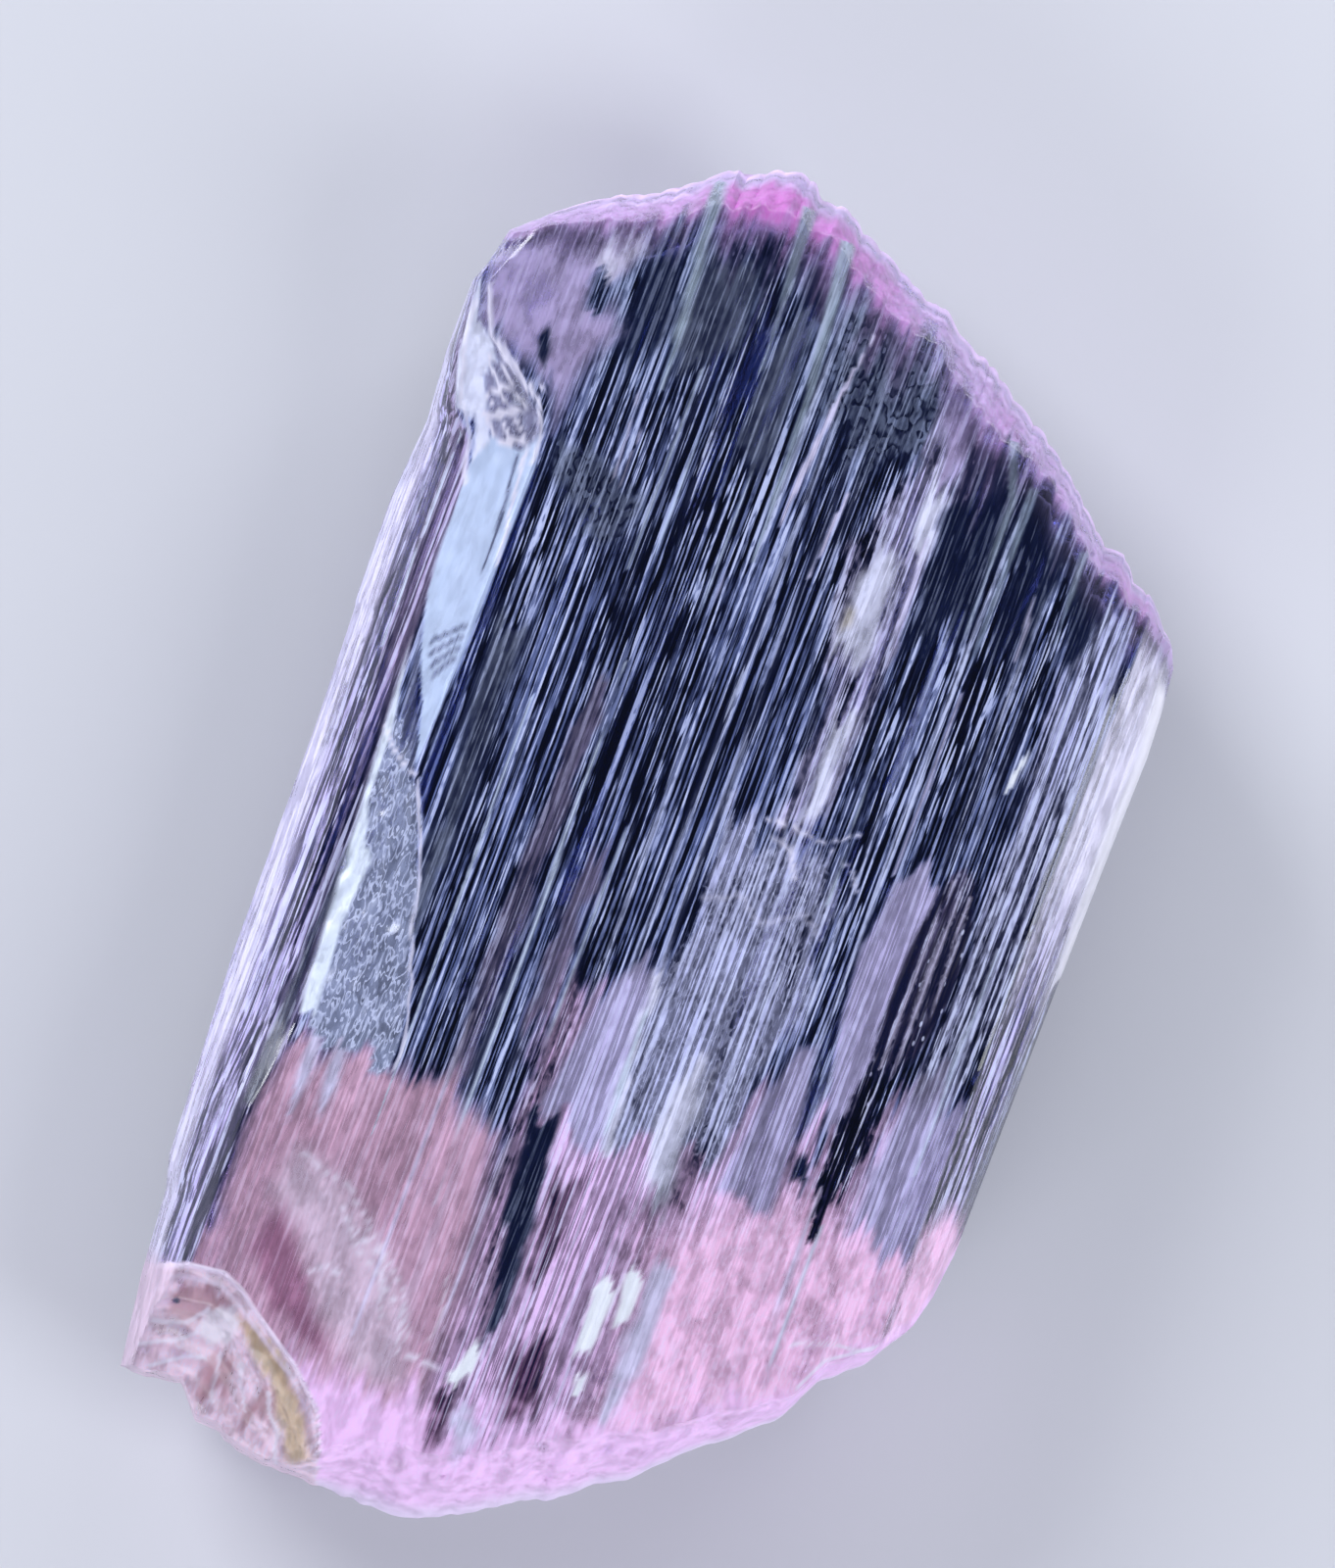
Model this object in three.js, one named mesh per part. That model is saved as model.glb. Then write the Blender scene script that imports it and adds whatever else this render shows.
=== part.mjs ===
import * as THREE from 'three';

// A flattened kunzite crystal, in millimetres. It lies on its back face: X runs across the broad faces,
// Y along the growth axis towards the natural tip, Z out of the broad front face.
const thickness = 12;

// The belt is the sharp outline where front and back meet. It lies lower at the broken end.
const beltHeight = 6.4;
const brokenBeltHeight = 4.8;
const beltWander = 0.35;

// The two ends of the outline, seen from the front, as [x, y] from left to right.
const tipEdge = [
  [-17.7, 25.3], [-15.5, 27.3], [-13.5, 28.6], [-12.2, 29.1], [-10.2, 30.5], [-9.1, 31.5], [-8.6, 31.6],
  [-8.3, 31.4], [-7.1, 32.2], [-5.9, 32.5], [-5.2, 32.3], [-4.6, 31.6], [-3.7, 31.7], [-3.2, 31.6],
  [-2.4, 31.0], [-0.6, 30.2], [0.3, 29.7], [1.8, 28.9], [2.2, 29.0], [2.7, 28.8], [3.4, 28.2], [4.4, 27.6],
  [5.3, 27.3], [7.2, 26.0], [8.8, 25.1], [10.7, 23.6], [13.3, 21.2], [14.2, 21.2], [14.8, 20.5],
  [15.2, 20.0], [15.9, 19.9], [16.7, 19.1], [17.7, 18.0], [18.2, 17.0],
];
const brokenEdge = [
  [-16.2, -30.4], [-14.5, -30.4], [-13.3, -30.2], [-12.1, -31.6], [-10.9, -31.7], [-9.9, -32.2],
  [-8.5, -32.4], [-2.0, -32.5], [-0.8, -32.2], [1.0, -31.3], [1.7, -30.9], [3.3, -29.8], [4.8, -29.2],
  [6.4, -27.8], [7.8, -27.0], [9.6, -25.1], [11.8, -23.3], [13.4, -21.8], [14.3, -19.8], [16.0, -18.3],
  [17.4, -16.0], [17.9, -14.2], [18.2, -12.0],
];

// Lines that run the length of the crystal, as [y, x] from the broken end to the tip: the two sides of
// the outline, and between them the inner edges of the left prism face and of the shelf beside it.
const leftEdge = [
  [-30.4, -16.2], [-25.9, -16.8], [-21.9, -17.1], [-20.4, -17.5], [-10.4, -18.0], [0.9, -18.1], [6.4, -18.3],
  [6.8, -18.4], [11.8, -18.5], [15.7, -18.2], [19.1, -18.5], [22.5, -18.5], [23.2, -18.2], [25.3, -17.7],
];
const prismLine = [
  [-30.4, -14.6], [-17.0, -14.7], [-12.6, -13.9], [-5.0, -14.4], [2.2, -14.9], [7.5, -15.2], [14.0, -15.5],
  [15.5, -16.0], [16.6, -17.0], [19.1, -17.7], [22.5, -18.1], [25.3, -17.2],
];
const shelfLine = [
  [-30.4, -12.7], [-19.6, -12.4], [-16.5, -9.9], [-12.2, -9.3], [-8.5, -9.9], [-4.5, -10.9], [-1.6, -12.0],
  [0.0, -12.8], [4.7, -12.9], [15.5, -12.8], [17.4, -13.2], [18.8, -14.8], [20.2, -16.6], [22.5, -17.6],
  [25.3, -16.5],
];
const rightEdge = [
  [-12.0, 18.2], [0.9, 18.3], [7.7, 18.4], [12.7, 18.5], [14.8, 18.4], [17.0, 18.2],
];
const shoulderX = -8;
const sideX = 16.1;

// How far the fractured shelf lies below the front face, as [y, drop].
const shelfDrop = [
  [-30, 0.2], [-20, 0.3], [-16.5, 1.3], [-5, 1.6], [0, 1.3], [5, 1.1], [16, 1.2], [19, 0.8], [22.5, 0.1],
];

// Growth steps across the front face, as [x, rise to the right of it].
const growthSteps = [
  [-7.2, -0.12], [-6.0, 0.30], [-4.5, -0.16], [-3.2, -0.10], [-2.2, 0.14], [-0.9, 0.20], [0.3, -0.12],
  [1.1, 0.16], [2.1, -0.18], [2.9, 0.10], [4.1, 0.16], [5.6, -0.40], [7.3, 0.12], [8.4, 0.18],
  [9.3, -0.14], [10.9, 0.16], [11.8, -0.10], [13.0, 0.12], [13.9, -0.14], [14.8, 0.12], [15.6, -0.30],
];
const growthStepWidth = 0.3;

// Etched rim of the tip and rough band of the broken end, as [x, width seen from the front].
const rimWidth = [
  [-17.7, 0.9], [-13, 2.0], [-9, 2.4], [-6, 2.8], [-4, 2.1], [0, 2.6], [3, 2.2], [5.5, 2.8], [10, 1.8],
  [14, 1.8], [18.2, 0.9],
];
const breakWidth = [
  [-16.2, 1.4], [-7, 1.7], [-4.5, 3.6], [-3, 4.2], [4, 3.9], [8, 3.0], [12, 1.9], [15, 1.3], [18.2, 0.8],
];

// Profiles of the two, as [share of the width, share of the height over the belt].
const rimProfile = [[0, 0], [0.24, 0.44], [0.6, 0.84], [1, 1.1]];
const breakProfile = [[0, 0], [0.2, 0.36], [0.5, 0.72], [0.8, 0.9], [1, 1.1]];

// Upper edge of the shell-like hollow at the broken end, as [x, y], and its profile, as [distance, depth].
const hollowEdge = [
  [-17.0, -25.6], [-15.6, -24.7], [-14.7, -24.3], [-13.1, -24.1], [-12.0, -24.6], [-10.9, -25.4],
  [-8.6, -26.9], [-6.8, -28.6], [-6.1, -30.2], [-5.7, -32.5],
];
const hollowProfile = [[0, -0.4], [0.3, 0.8], [1.5, 1.1], [1.9, 1.8], [3.4, 2.6], [6.0, 3.2], [9.0, 3.4]];
const hollowLedges = 5;
const hollowSlant = 0.8;

// How far the slanting faces of the underside reach in from the outline.
const undersideReach = { left: 3.2, right: 2.4, tip: 4.6, broken: 2.8 };
const restingStripHalfWidth = 3;

// The net of points that each side is cut into. Columns stand between the lengthwise lines.
const prismColumns = 4;
const shelfColumns = 4;
const shoulderColumns = 5;
const sideColumns = 4;
const endRows = [0, 0.09, 0.24, 0.46, 0.72, 1];
const middleRows = 25;
const endCrowding = 0.07;
const leastRow = 0.2;
const endBlend = 5;

function lerp(a, b, f) {
  return a + (b - a) * f;
}

function ramp(from, to, value) {
  return Math.min(1, Math.max(0, (value - from) / (to - from)));
}

// Value at a key on a line given as [key, value] pairs in rising order of key.
function along(line, key) {
  let i = 1;
  while (i < line.length - 1 && line[i][0] < key) i += 1;
  const [k0, v0] = line[i - 1];
  const [k1, v1] = line[i];
  return lerp(v0, v1, ramp(k0, k1, key));
}

function speck(i, j) {
  const n = Math.sin(i * 12.9898 + j * 78.233) * 4375.85453;
  return n - Math.floor(n);
}

// Smooth unevenness between -1 and 1, with lumps of the given length in x and y.
function lumps(x, y, pitchX, pitchY = pitchX) {
  const u = x / pitchX + 100;
  const v = y / pitchY + 100;
  const i = Math.floor(u);
  const j = Math.floor(v);
  const low = lerp(speck(i, j), speck(i + 1, j), u - i);
  const high = lerp(speck(i, j + 1), speck(i + 1, j + 1), u - i);
  return lerp(low, high, v - j) * 2 - 1;
}

function belt(x, y) {
  const level = lerp(brokenBeltHeight, beltHeight, ramp(-32, -14, y));
  return level + beltWander * lumps(x, y, 2.6);
}

function frontLines(y) {
  return [along(leftEdge, y), along(prismLine, y), along(shelfLine, y), shoulderX, sideX, along(rightEdge, y)];
}

function backLines(y) {
  const left = along(leftEdge, y);
  const right = along(rightEdge, y);
  return [left, left + undersideReach.left, -12.5, shoulderX, right - undersideReach.right, right];
}

// The band between two lengthwise lines that each column stands in, and how far across it.
function columnPlaces() {
  const places = [{ band: 0, across: 0 }];
  const addEven = (band, count) => {
    for (let i = 1; i <= count; i += 1) places.push({ band, across: i / count });
  };
  addEven(0, prismColumns);
  addEven(1, shelfColumns);
  addEven(2, shoulderColumns);
  growthSteps.forEach(([x]) => {
    places.push({ band: 3, across: ramp(shoulderX, sideX, x) });
    places.push({ band: 3, across: ramp(shoulderX, sideX, x + growthStepWidth) });
  });
  addEven(3, 1);
  addEven(4, sideColumns);
  return places;
}

function columnX(place, y, lines) {
  const atHeight = lines(y);
  return lerp(atHeight[place.band], atHeight[place.band + 1], place.across);
}

// Where a column meets one of the two ends.
function columnEnd(place, edge) {
  let y = 0;
  for (let i = 0; i < 12; i += 1) y = along(edge, columnX(place, y, frontLines));
  return y;
}

// Rows of a column from the broken end to the tip. The first middle rows can be set on given stops.
function columnRows(bottom, top, brokenBand, tipBand, stops = []) {
  const rows = endRows.map((f) => bottom + brokenBand * f);
  stops.forEach((stop) => rows.push(Math.max(stop, rows[rows.length - 1] + leastRow)));
  const start = rows[rows.length - 1];
  const evenRows = middleRows - stops.length;
  for (let i = 1; i < evenRows; i += 1) {
    const even = i / evenRows;
    const crowded = even - endCrowding * Math.sin(2 * Math.PI * even);
    rows.push(lerp(start, top - tipBand, crowded));
  }
  [...endRows].reverse().forEach((f) => rows.push(top - tipBand * f));
  return rows;
}

// Rows that follow the ledges of the hollow across the columns that it reaches.
function hollowStops(x) {
  const [lastX] = hollowEdge[hollowEdge.length - 1];
  if (x > lastX) return [];
  const ledges = hollowProfile.slice(0, hollowLedges).reverse();
  return ledges.map(([distance]) => along(hollowEdge, x) - distance / hollowSlant);
}

// Height that each growth step adds. Steps fade in and out along the crystal.
function growthRelief(x, y) {
  let rise = 0;
  growthSteps.forEach(([stepX, height]) => {
    const strength = 0.85 + 0.5 * lumps(stepX * 3.7, y, 1, 14);
    rise += height * strength * ramp(stepX, stepX + growthStepWidth, x);
  });
  return rise + 0.06 * lumps(x, y, 0.4, 9);
}

// Height of the front over its lengthwise faces alone.
function lengthwiseHeight(x, y) {
  const [left, prism, shelf, , , right] = frontLines(y);
  const edge = belt(x, y);
  const drop = along(shelfDrop, y);
  const prismTop = thickness - 0.15 - drop;
  const shelfTop = thickness - 0.1 - 0.22 * drop;
  if (x < prism) {
    const share = along([[0, 0], [0.28, 0.5], [0.62, 0.86], [1, 1]], ramp(left, prism, x));
    return lerp(edge, prismTop, share);
  }
  if (x < shelf) {
    const torn = 0.16 * drop * lumps(x, y, 0.8);
    return lerp(prismTop, shelfTop, ramp(prism, shelf, x)) + torn;
  }
  if (x > sideX) {
    const share = along([[0, 0], [0.3, 0.56], [1, 1]], ramp(right, sideX, x));
    return lerp(edge, thickness - 0.1, share);
  }
  const inner = Math.min(ramp(shelf, shelf + 0.8, x), ramp(sideX, sideX - 0.4, x));
  return thickness - 0.1 + inner * growthRelief(x, y);
}

function endHeight(x, y, distance, width, profile, roughness) {
  const share = ramp(0, along(width, x), distance);
  const smooth = lerp(belt(x, y), thickness, along(profile, share));
  return smooth + roughness * lumps(x, y, 1.2) * Math.sin(Math.PI * share);
}

function hollowHeight(x, y) {
  const distance = hollowSlant * (along(hollowEdge, x) - y);
  const [lastX] = hollowEdge[hollowEdge.length - 1];
  if (distance < 0 || x > lastX) return Infinity;
  return thickness - along(hollowProfile, distance) + 0.12 * lumps(x, y, 1.5);
}

function frontHeight(x, y, toTip, toBroken) {
  return Math.max(belt(x, y), Math.min(
    lengthwiseHeight(x, y),
    hollowHeight(x, y),
    endHeight(x, y, toTip, rimWidth, rimProfile, 0.35),
    endHeight(x, y, toBroken, breakWidth, breakProfile, 0.4),
  ));
}

function backHeight(x, y, toTip, toBroken) {
  const edge = belt(x, y);
  const slant = (distance, reach) => edge * (1 - ramp(0, reach, distance));
  const beside = ramp(restingStripHalfWidth, restingStripHalfWidth + 0.8, Math.abs(x));
  return Math.min(edge, Math.max(
    0.3 * beside * lumps(x, y, 0.7, 12),
    slant(x - along(leftEdge, y), undersideReach.left),
    slant(along(rightEdge, y) - x, undersideReach.right),
    slant(toTip, undersideReach.tip),
    slant(toBroken, undersideReach.broken),
    0,
  ));
}

// Net of the front, as rows of [x, y, z] in columns.
function frontNet(places) {
  return places.map((place) => {
    const bottom = columnEnd(place, brokenEdge);
    const top = columnEnd(place, tipEdge);
    const brokenBand = along(breakWidth, columnX(place, bottom, frontLines));
    const tipBand = along(rimWidth, columnX(place, top, frontLines));
    const stops = hollowStops(columnX(place, bottom, frontLines));
    return columnRows(bottom, top, brokenBand, tipBand, stops).map((y) => {
      const x = columnX(place, y, frontLines);
      return [x, y, frontHeight(x, y, top - y, y - bottom)];
    });
  });
}

// Net of the back. Its outline is the front's, and inside it has columns and rows of its own.
function backNet(places, front) {
  return places.map((place, i) => {
    const column = front[i];
    const bottom = column[0][1];
    const top = column[column.length - 1][1];
    const inward = Math.min(1, i / prismColumns, (places.length - 1 - i) / sideColumns);
    const rows = columnRows(bottom, top, undersideReach.broken, undersideReach.tip);
    return rows.map((ownY, j) => {
      const y = lerp(column[j][1], ownY, inward);
      const toTip = top - y;
      const toBroken = y - bottom;
      const endX = toTip < toBroken ? column[column.length - 1][0] : column[0][0];
      const x = lerp(endX, columnX(place, y, backLines), ramp(0, endBlend, Math.min(toTip, toBroken)));
      return [x, y, backHeight(x, y, toTip, toBroken)];
    });
  });
}

// The two nets, joined along the outline.
function crystalGeometry() {
  const places = columnPlaces();
  const front = frontNet(places);
  const back = backNet(places, front);
  const lastColumn = places.length - 1;
  const lastRow = front[0].length - 1;
  const positions = [];
  const frontPoints = [];
  const backPoints = [];
  const addPoint = ([x, y, z]) => positions.push(x, y, z) / 3 - 1;
  places.forEach((place, i) => {
    frontPoints.push([]);
    backPoints.push([]);
    front[i].forEach(([x, y, z], j) => {
      const onOutline = i === 0 || i === lastColumn || j === 0 || j === lastRow;
      const point = addPoint([x, y, onOutline ? belt(x, y) : z]);
      frontPoints[i].push(point);
      backPoints[i].push(onOutline ? point : addPoint(back[i][j]));
    });
  });

  const indices = [];
  for (let i = 0; i < lastColumn; i += 1) {
    for (let j = 0; j < lastRow; j += 1) {
      const corners = [[i, j], [i + 1, j], [i + 1, j + 1], [i, j + 1]];
      const risingDiagonal = (i < lastColumn / 2) === (j < lastRow / 2);
      const order = risingDiagonal ? [0, 1, 2, 0, 2, 3] : [0, 1, 3, 1, 2, 3];
      const pointOf = (points) => (k) => points[corners[k][0]][corners[k][1]];
      indices.push(...order.map(pointOf(frontPoints)));
      indices.push(...order.map(pointOf(backPoints)).reverse());
    }
  }

  const geometry = new THREE.BufferGeometry();
  geometry.setAttribute('position', new THREE.Float32BufferAttribute(positions, 3));
  geometry.setIndex(indices);
  geometry.computeVertexNormals();
  return geometry;
}

function crystal() {
  const material = new THREE.MeshStandardMaterial({ color: 0xcbb3dc, roughness: 0.18, metalness: 0 });
  const mesh = new THREE.Mesh(crystalGeometry(), material);
  mesh.name = 'kunzite_crystal';
  return mesh;
}

const model = new THREE.Group();
model.add(crystal());

export default model;
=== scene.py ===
import math
from functools import partial

import bpy
import numpy as np
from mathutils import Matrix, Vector


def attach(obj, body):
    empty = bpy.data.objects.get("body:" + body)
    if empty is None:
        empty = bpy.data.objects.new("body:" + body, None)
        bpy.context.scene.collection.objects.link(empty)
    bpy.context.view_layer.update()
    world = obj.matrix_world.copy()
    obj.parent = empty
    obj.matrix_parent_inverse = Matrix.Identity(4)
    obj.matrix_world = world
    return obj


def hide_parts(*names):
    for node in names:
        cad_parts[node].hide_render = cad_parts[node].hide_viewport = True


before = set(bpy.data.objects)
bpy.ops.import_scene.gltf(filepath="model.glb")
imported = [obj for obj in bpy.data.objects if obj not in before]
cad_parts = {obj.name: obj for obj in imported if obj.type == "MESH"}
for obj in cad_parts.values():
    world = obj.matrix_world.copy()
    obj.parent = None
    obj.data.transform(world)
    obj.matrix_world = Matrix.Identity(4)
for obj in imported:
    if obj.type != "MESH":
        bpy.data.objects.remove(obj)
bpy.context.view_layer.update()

scene = bpy.context.scene
mm = 0.001
print("frame loaded")


# Camera, floor and lights.
cameraView = {
    "aim": (-1.88, 3.82, 6.0),  # mm, the point in the middle of the frame
    "roll": 20.5,               # degrees, leans the crystal to the right
    "distance": 500,            # mm above the aim
    "frameHeight": 72.7,        # mm that the frame takes in at the aim
}


def makeCamera():
    data = bpy.data.cameras.new("camera")
    data.lens = data.sensor_width * cameraView["distance"] / cameraView["frameHeight"]
    camera = bpy.data.objects.new("camera", data)
    camera.location = Vector(cameraView["aim"]) * mm + Vector((0, 0, cameraView["distance"] * mm))
    camera.rotation_euler = (0, 0, math.radians(cameraView["roll"]))
    scene.collection.objects.link(camera)
    scene.camera = camera


floorLook = {
    "radius": 4.0,            # m
    "gap": 0.03,              # mm under the crystal's lowest facets
    "colour": (0.70, 0.70, 0.72, 1),
    "roughness": 0.6,
}


def makeFloor():
    bpy.ops.mesh.primitive_circle_add(vertices=96, radius=floorLook["radius"], fill_type="NGON")
    floor = bpy.context.object
    floor.name = "floor"
    floor.location.z = -floorLook["gap"] * mm
    material = bpy.data.materials.new("floorPaper")
    material.use_nodes = True
    shader = material.node_tree.nodes["Principled BSDF"]
    shader.inputs["Base Color"].default_value = floorLook["colour"]
    shader.inputs["Roughness"].default_value = floorLook["roughness"]
    floor.data.materials.append(material)


softboxes = [  # name, place in mm, size in mm, watts
    ("keySoftbox", (-540, 340, 290), (300, 520), 4.8),
    ("fillSoftbox", (480, -60, 300), (260, 520), 1.8),
    ("footSoftbox", (-80, -520, 330), (420, 220), 1.2),
    ("backSoftbox", (120, 560, 260), (420, 200), 1.2),
]
softboxColour = (0.90, 0.93, 1.0)


def makeSoftbox(name, place, size, watts):
    data = bpy.data.lights.new(name, "AREA")
    data.shape = "RECTANGLE"
    data.size, data.size_y = size[0] * mm, size[1] * mm
    data.energy = watts
    data.color = softboxColour
    light = bpy.data.objects.new(name, data)
    light.location = Vector(place) * mm
    light.rotation_mode = "QUATERNION"
    light.rotation_quaternion = Vector(place).to_track_quat("Z", "Y")
    scene.collection.objects.link(light)


worldLook = {
    "horizon": (0.84, 0.87, 1.0, 1),
    "overhead": (0.05, 0.06, 0.10, 1),
    "horizonTo": 0.22,        # heights between which the one turns into the other
    "overheadFrom": 0.62,
    "strength": 1.15,
}


def makeWorld():
    world = bpy.data.worlds.new("studio")
    world.use_nodes = True
    nodes, links = world.node_tree.nodes, world.node_tree.links
    place = nodes.new("ShaderNodeTexCoord")
    split = nodes.new("ShaderNodeSeparateXYZ")
    ramp = nodes.new("ShaderNodeValToRGB")
    for element, height, colour in zip(ramp.color_ramp.elements, ("horizonTo", "overheadFrom"),
                                       ("horizon", "overhead")):
        element.position = worldLook[height]
        element.color = worldLook[colour]
    links.new(place.outputs["Generated"], split.inputs[0])
    links.new(split.outputs["Z"], ramp.inputs["Fac"])
    links.new(ramp.outputs["Color"], nodes["Background"].inputs["Color"])
    nodes["Background"].inputs["Strength"].default_value = worldLook["strength"]
    scene.world = world


makeCamera()
makeFloor()
for softbox in softboxes:
    makeSoftbox(*softbox)
makeWorld()
scene.cycles.caustics_refractive = False
scene.cycles.caustics_reflective = False
scene.cycles.max_bounces = 5
scene.cycles.transmission_bounces = 5
scene.cycles.glossy_bounces = 3
scene.cycles.diffuse_bounces = 2
scene.view_settings.view_transform = "Standard"
print("camera, floor and lights placed")


# The crystal's shape, in mm. X runs across the broad faces, Y along the growth axis to the natural
# tip, Z out of the front face.
crystal = {
    "thickness": 12.0,
    "beltHeight": 6.4,        # the sharp outline where front and back meet
    "brokenBeltHeight": 4.8,
    "beltRise": (-32, -14),   # y between which it rises from the one height to the other
    "beltWander": 0.25,
    "beltLumps": (2.6, 14),   # across and along the crystal
    "shoulderX": -8.0,
    "backShoulderX": -12.5,
    "sideX": 16.1,
    "frontSink": 0.1,         # of the front before its growth steps
    "prismSink": 0.05,
    "shelfTilt": 0.22,        # share of the shelf's drop that is left at its inner edge
    "tears": (0.16, 0.12),    # heights of the coarse and the fine tears on the shelf
    "growthStepWidth": 0.9,
    "growthStepFade": (2, 8),  # distances from the tip between which the steps begin
    "tipRoughness": 0.35,
    "brokenRoughness": 0.4,
    "brokenNotches": 0.08,
    "hollowSlant": 0.8,       # turns a distance along Y into one square to the hollow's edge
    "bowlUnevenness": 0.12,
    "rippleHeight": 0.04,
    "rippleRate": 7,          # radians in each mm
    "knobHeight": 0.30,       # small bumps along the etched tip
    "knobPitch": 0.9,
    "restingStrip": 3.0,      # half of its width
    "backRelief": 0.3,
    "reach": {"left": 3.2, "right": 2.4, "tip": 2.6, "broken": 2.8},  # of the back's slants
}

outline = {
    # ends of the outline as (x, y), from left to right
    "tip": [
        (-17.7, 25.3), (-15.5, 27.3), (-13.5, 28.6), (-12.2, 29.1), (-10.2, 30.5), (-9.1, 31.5),
        (-8.6, 31.6), (-8.3, 31.4), (-7.1, 32.2), (-5.9, 32.5), (-5.2, 32.3), (-4.6, 31.6),
        (-3.7, 31.7), (-3.2, 31.6), (-2.4, 31.0), (-0.6, 30.2), (0.3, 29.7), (1.8, 28.9),
        (2.2, 29.0), (2.7, 28.8), (3.4, 28.2), (4.4, 27.6), (5.3, 27.3), (7.2, 26.0), (8.8, 25.1),
        (10.7, 23.6), (13.3, 21.2), (14.2, 21.2), (14.8, 20.5), (15.2, 20.0), (15.9, 19.9),
        (16.7, 19.1), (17.7, 18.0), (18.2, 17.0)],
    "broken": [
        (-16.2, -30.4), (-14.5, -30.4), (-13.3, -30.2), (-12.1, -31.6), (-10.9, -31.7),
        (-9.9, -32.2), (-8.5, -32.4), (-2.0, -32.5), (-0.8, -32.2), (1.0, -31.3), (1.7, -30.9),
        (3.3, -29.8), (4.8, -29.2), (6.4, -27.8), (7.8, -27.0), (9.6, -25.1), (11.8, -23.3),
        (13.4, -21.8), (14.3, -19.8), (16.0, -18.3), (17.4, -16.0), (17.9, -14.2), (18.2, -12.0)],
    # lines that run the length of the crystal as (y, x), from the broken end to the tip
    "left": [
        (-30.4, -16.2), (-25.9, -16.8), (-21.9, -17.1), (-20.4, -17.5), (-10.4, -18.0),
        (0.9, -18.1), (6.4, -18.3), (6.8, -18.4), (11.8, -18.5), (15.7, -18.2), (19.1, -18.5),
        (22.5, -18.5), (23.2, -18.2), (25.3, -17.7)],
    "prism": [
        (-30.4, -14.6), (-17.0, -14.7), (-12.6, -13.9), (-5.0, -14.4), (2.2, -14.9), (7.5, -15.2),
        (14.0, -15.5), (15.5, -16.0), (16.6, -17.0), (19.1, -17.7), (22.5, -18.1), (25.3, -17.2)],
    "shelf": [
        (-30.4, -12.7), (-19.6, -12.4), (-16.5, -9.9), (-12.2, -9.3), (-8.5, -9.9), (-4.5, -10.9),
        (-1.6, -12.0), (0.0, -12.8), (4.7, -12.9), (15.5, -12.8), (17.4, -13.2), (18.8, -14.8),
        (20.2, -16.6), (22.5, -17.6), (25.3, -16.5)],
    "right": [(-12.0, 18.2), (0.9, 18.3), (7.7, 18.4), (12.7, 18.5), (14.8, 18.4), (17.0, 18.2)],
    # upper edge of the shell-like hollow at the broken end as (x, y)
    "hollow": [
        (-17.0, -25.6), (-15.6, -24.7), (-14.7, -24.3), (-13.1, -24.1), (-12.0, -24.6),
        (-10.9, -25.4), (-8.6, -26.9), (-6.8, -28.6), (-6.1, -30.2), (-5.7, -32.5)],
}

relief = {
    "shelfDrop": [  # (y, how far the fractured shelf lies below the front)
        (-30, 0.1), (-17, 0.12), (-13, 0.6), (-9, 1.2), (-5, 1.5), (0, 1.3), (5, 1.1), (16, 1.2),
        (19, 0.8), (22.5, 0.1)],
    "shelfTorn": [  # (y, how torn it is)
        (-30, 0), (-18, 0.05), (-12, 0.45), (-1.5, 0.6), (0.5, 0.1), (14.8, 0.05), (16.2, 0.7),
        (20, 0.7), (22, 0.2)],
    "growthSteps": [  # (x, rise to the right of it)
        (-7.2, -0.05), (-6.0, 0.11), (-4.5, -0.09), (-3.2, -0.06), (-2.2, 0.08), (-0.9, 0.11),
        (0.3, -0.07), (1.1, 0.09), (2.1, -0.10), (2.9, 0.06), (4.1, 0.09), (5.6, -0.12),
        (7.3, 0.06), (8.4, 0.10), (9.3, -0.08), (10.9, 0.09), (11.8, -0.06), (13.0, 0.07),
        (13.9, -0.08), (14.8, 0.05)],
    # (x, width seen from the front) of the etched rim and of the rough band at the broken end
    "rimWidth": [
        (-17.7, 0.9), (-13, 2.0), (-9, 2.4), (-6, 2.8), (-4, 2.1), (0, 2.6), (3, 2.2), (5.5, 2.8),
        (10, 1.8), (14, 1.8), (18.2, 0.9)],
    "breakWidth": [
        (-16.2, 1.4), (-7, 1.7), (-4.5, 3.6), (-3, 4.2), (4, 3.9), (8, 3.0), (12, 1.9), (15, 1.3),
        (18.2, 0.8)],
    # profiles as (share of the width, share of the height over the belt)
    "rimProfile": [(0, 0), (0.24, 0.44), (0.6, 0.84), (1, 1.1)],
    "breakProfile": [(0, 0), (0.2, 0.36), (0.5, 0.72), (0.8, 0.9), (1, 1.1)],
    "prismProfile": [(0, 0), (0.28, 0.5), (0.62, 0.86), (1, 1)],
    "sideProfile": [(0, 0), (0.3, 0.56), (1, 1)],
    "hollowProfile": [  # (distance, depth)
        (0, -0.4), (0.3, 0.8), (1.5, 1.1), (1.9, 1.8), (3.4, 2.6), (6.0, 3.2), (9.0, 3.4)],
}

net = {
    # even numbers, as the back has half as many columns and rows
    "columns": [24, 24, 36, 152, 14],  # between the lengthwise lines, from left to right
    "brokenRows": 22,
    "lowRows": 38,                     # up to the hollow's upper edge
    "middleRows": 188,
    "tipRows": 32,
    "endBlend": 5.0,                   # from the ends to where the back's columns are its own
    "endSteps": 12,                    # tries at the point where a column meets an end
    "crowding": 1.3,                   # above 1, rows stand closer at the ends
    "guideEndX": -8.6,                 # one row follows the hollow's edge up to here
    "guideY": -26.9,                   # and then stays at this y
    "guideRoom": 2.2,                  # from the rough band at the broken end
    "backGuideY": -25.0,
    "backGuideRoom": 5.5,
}


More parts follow.
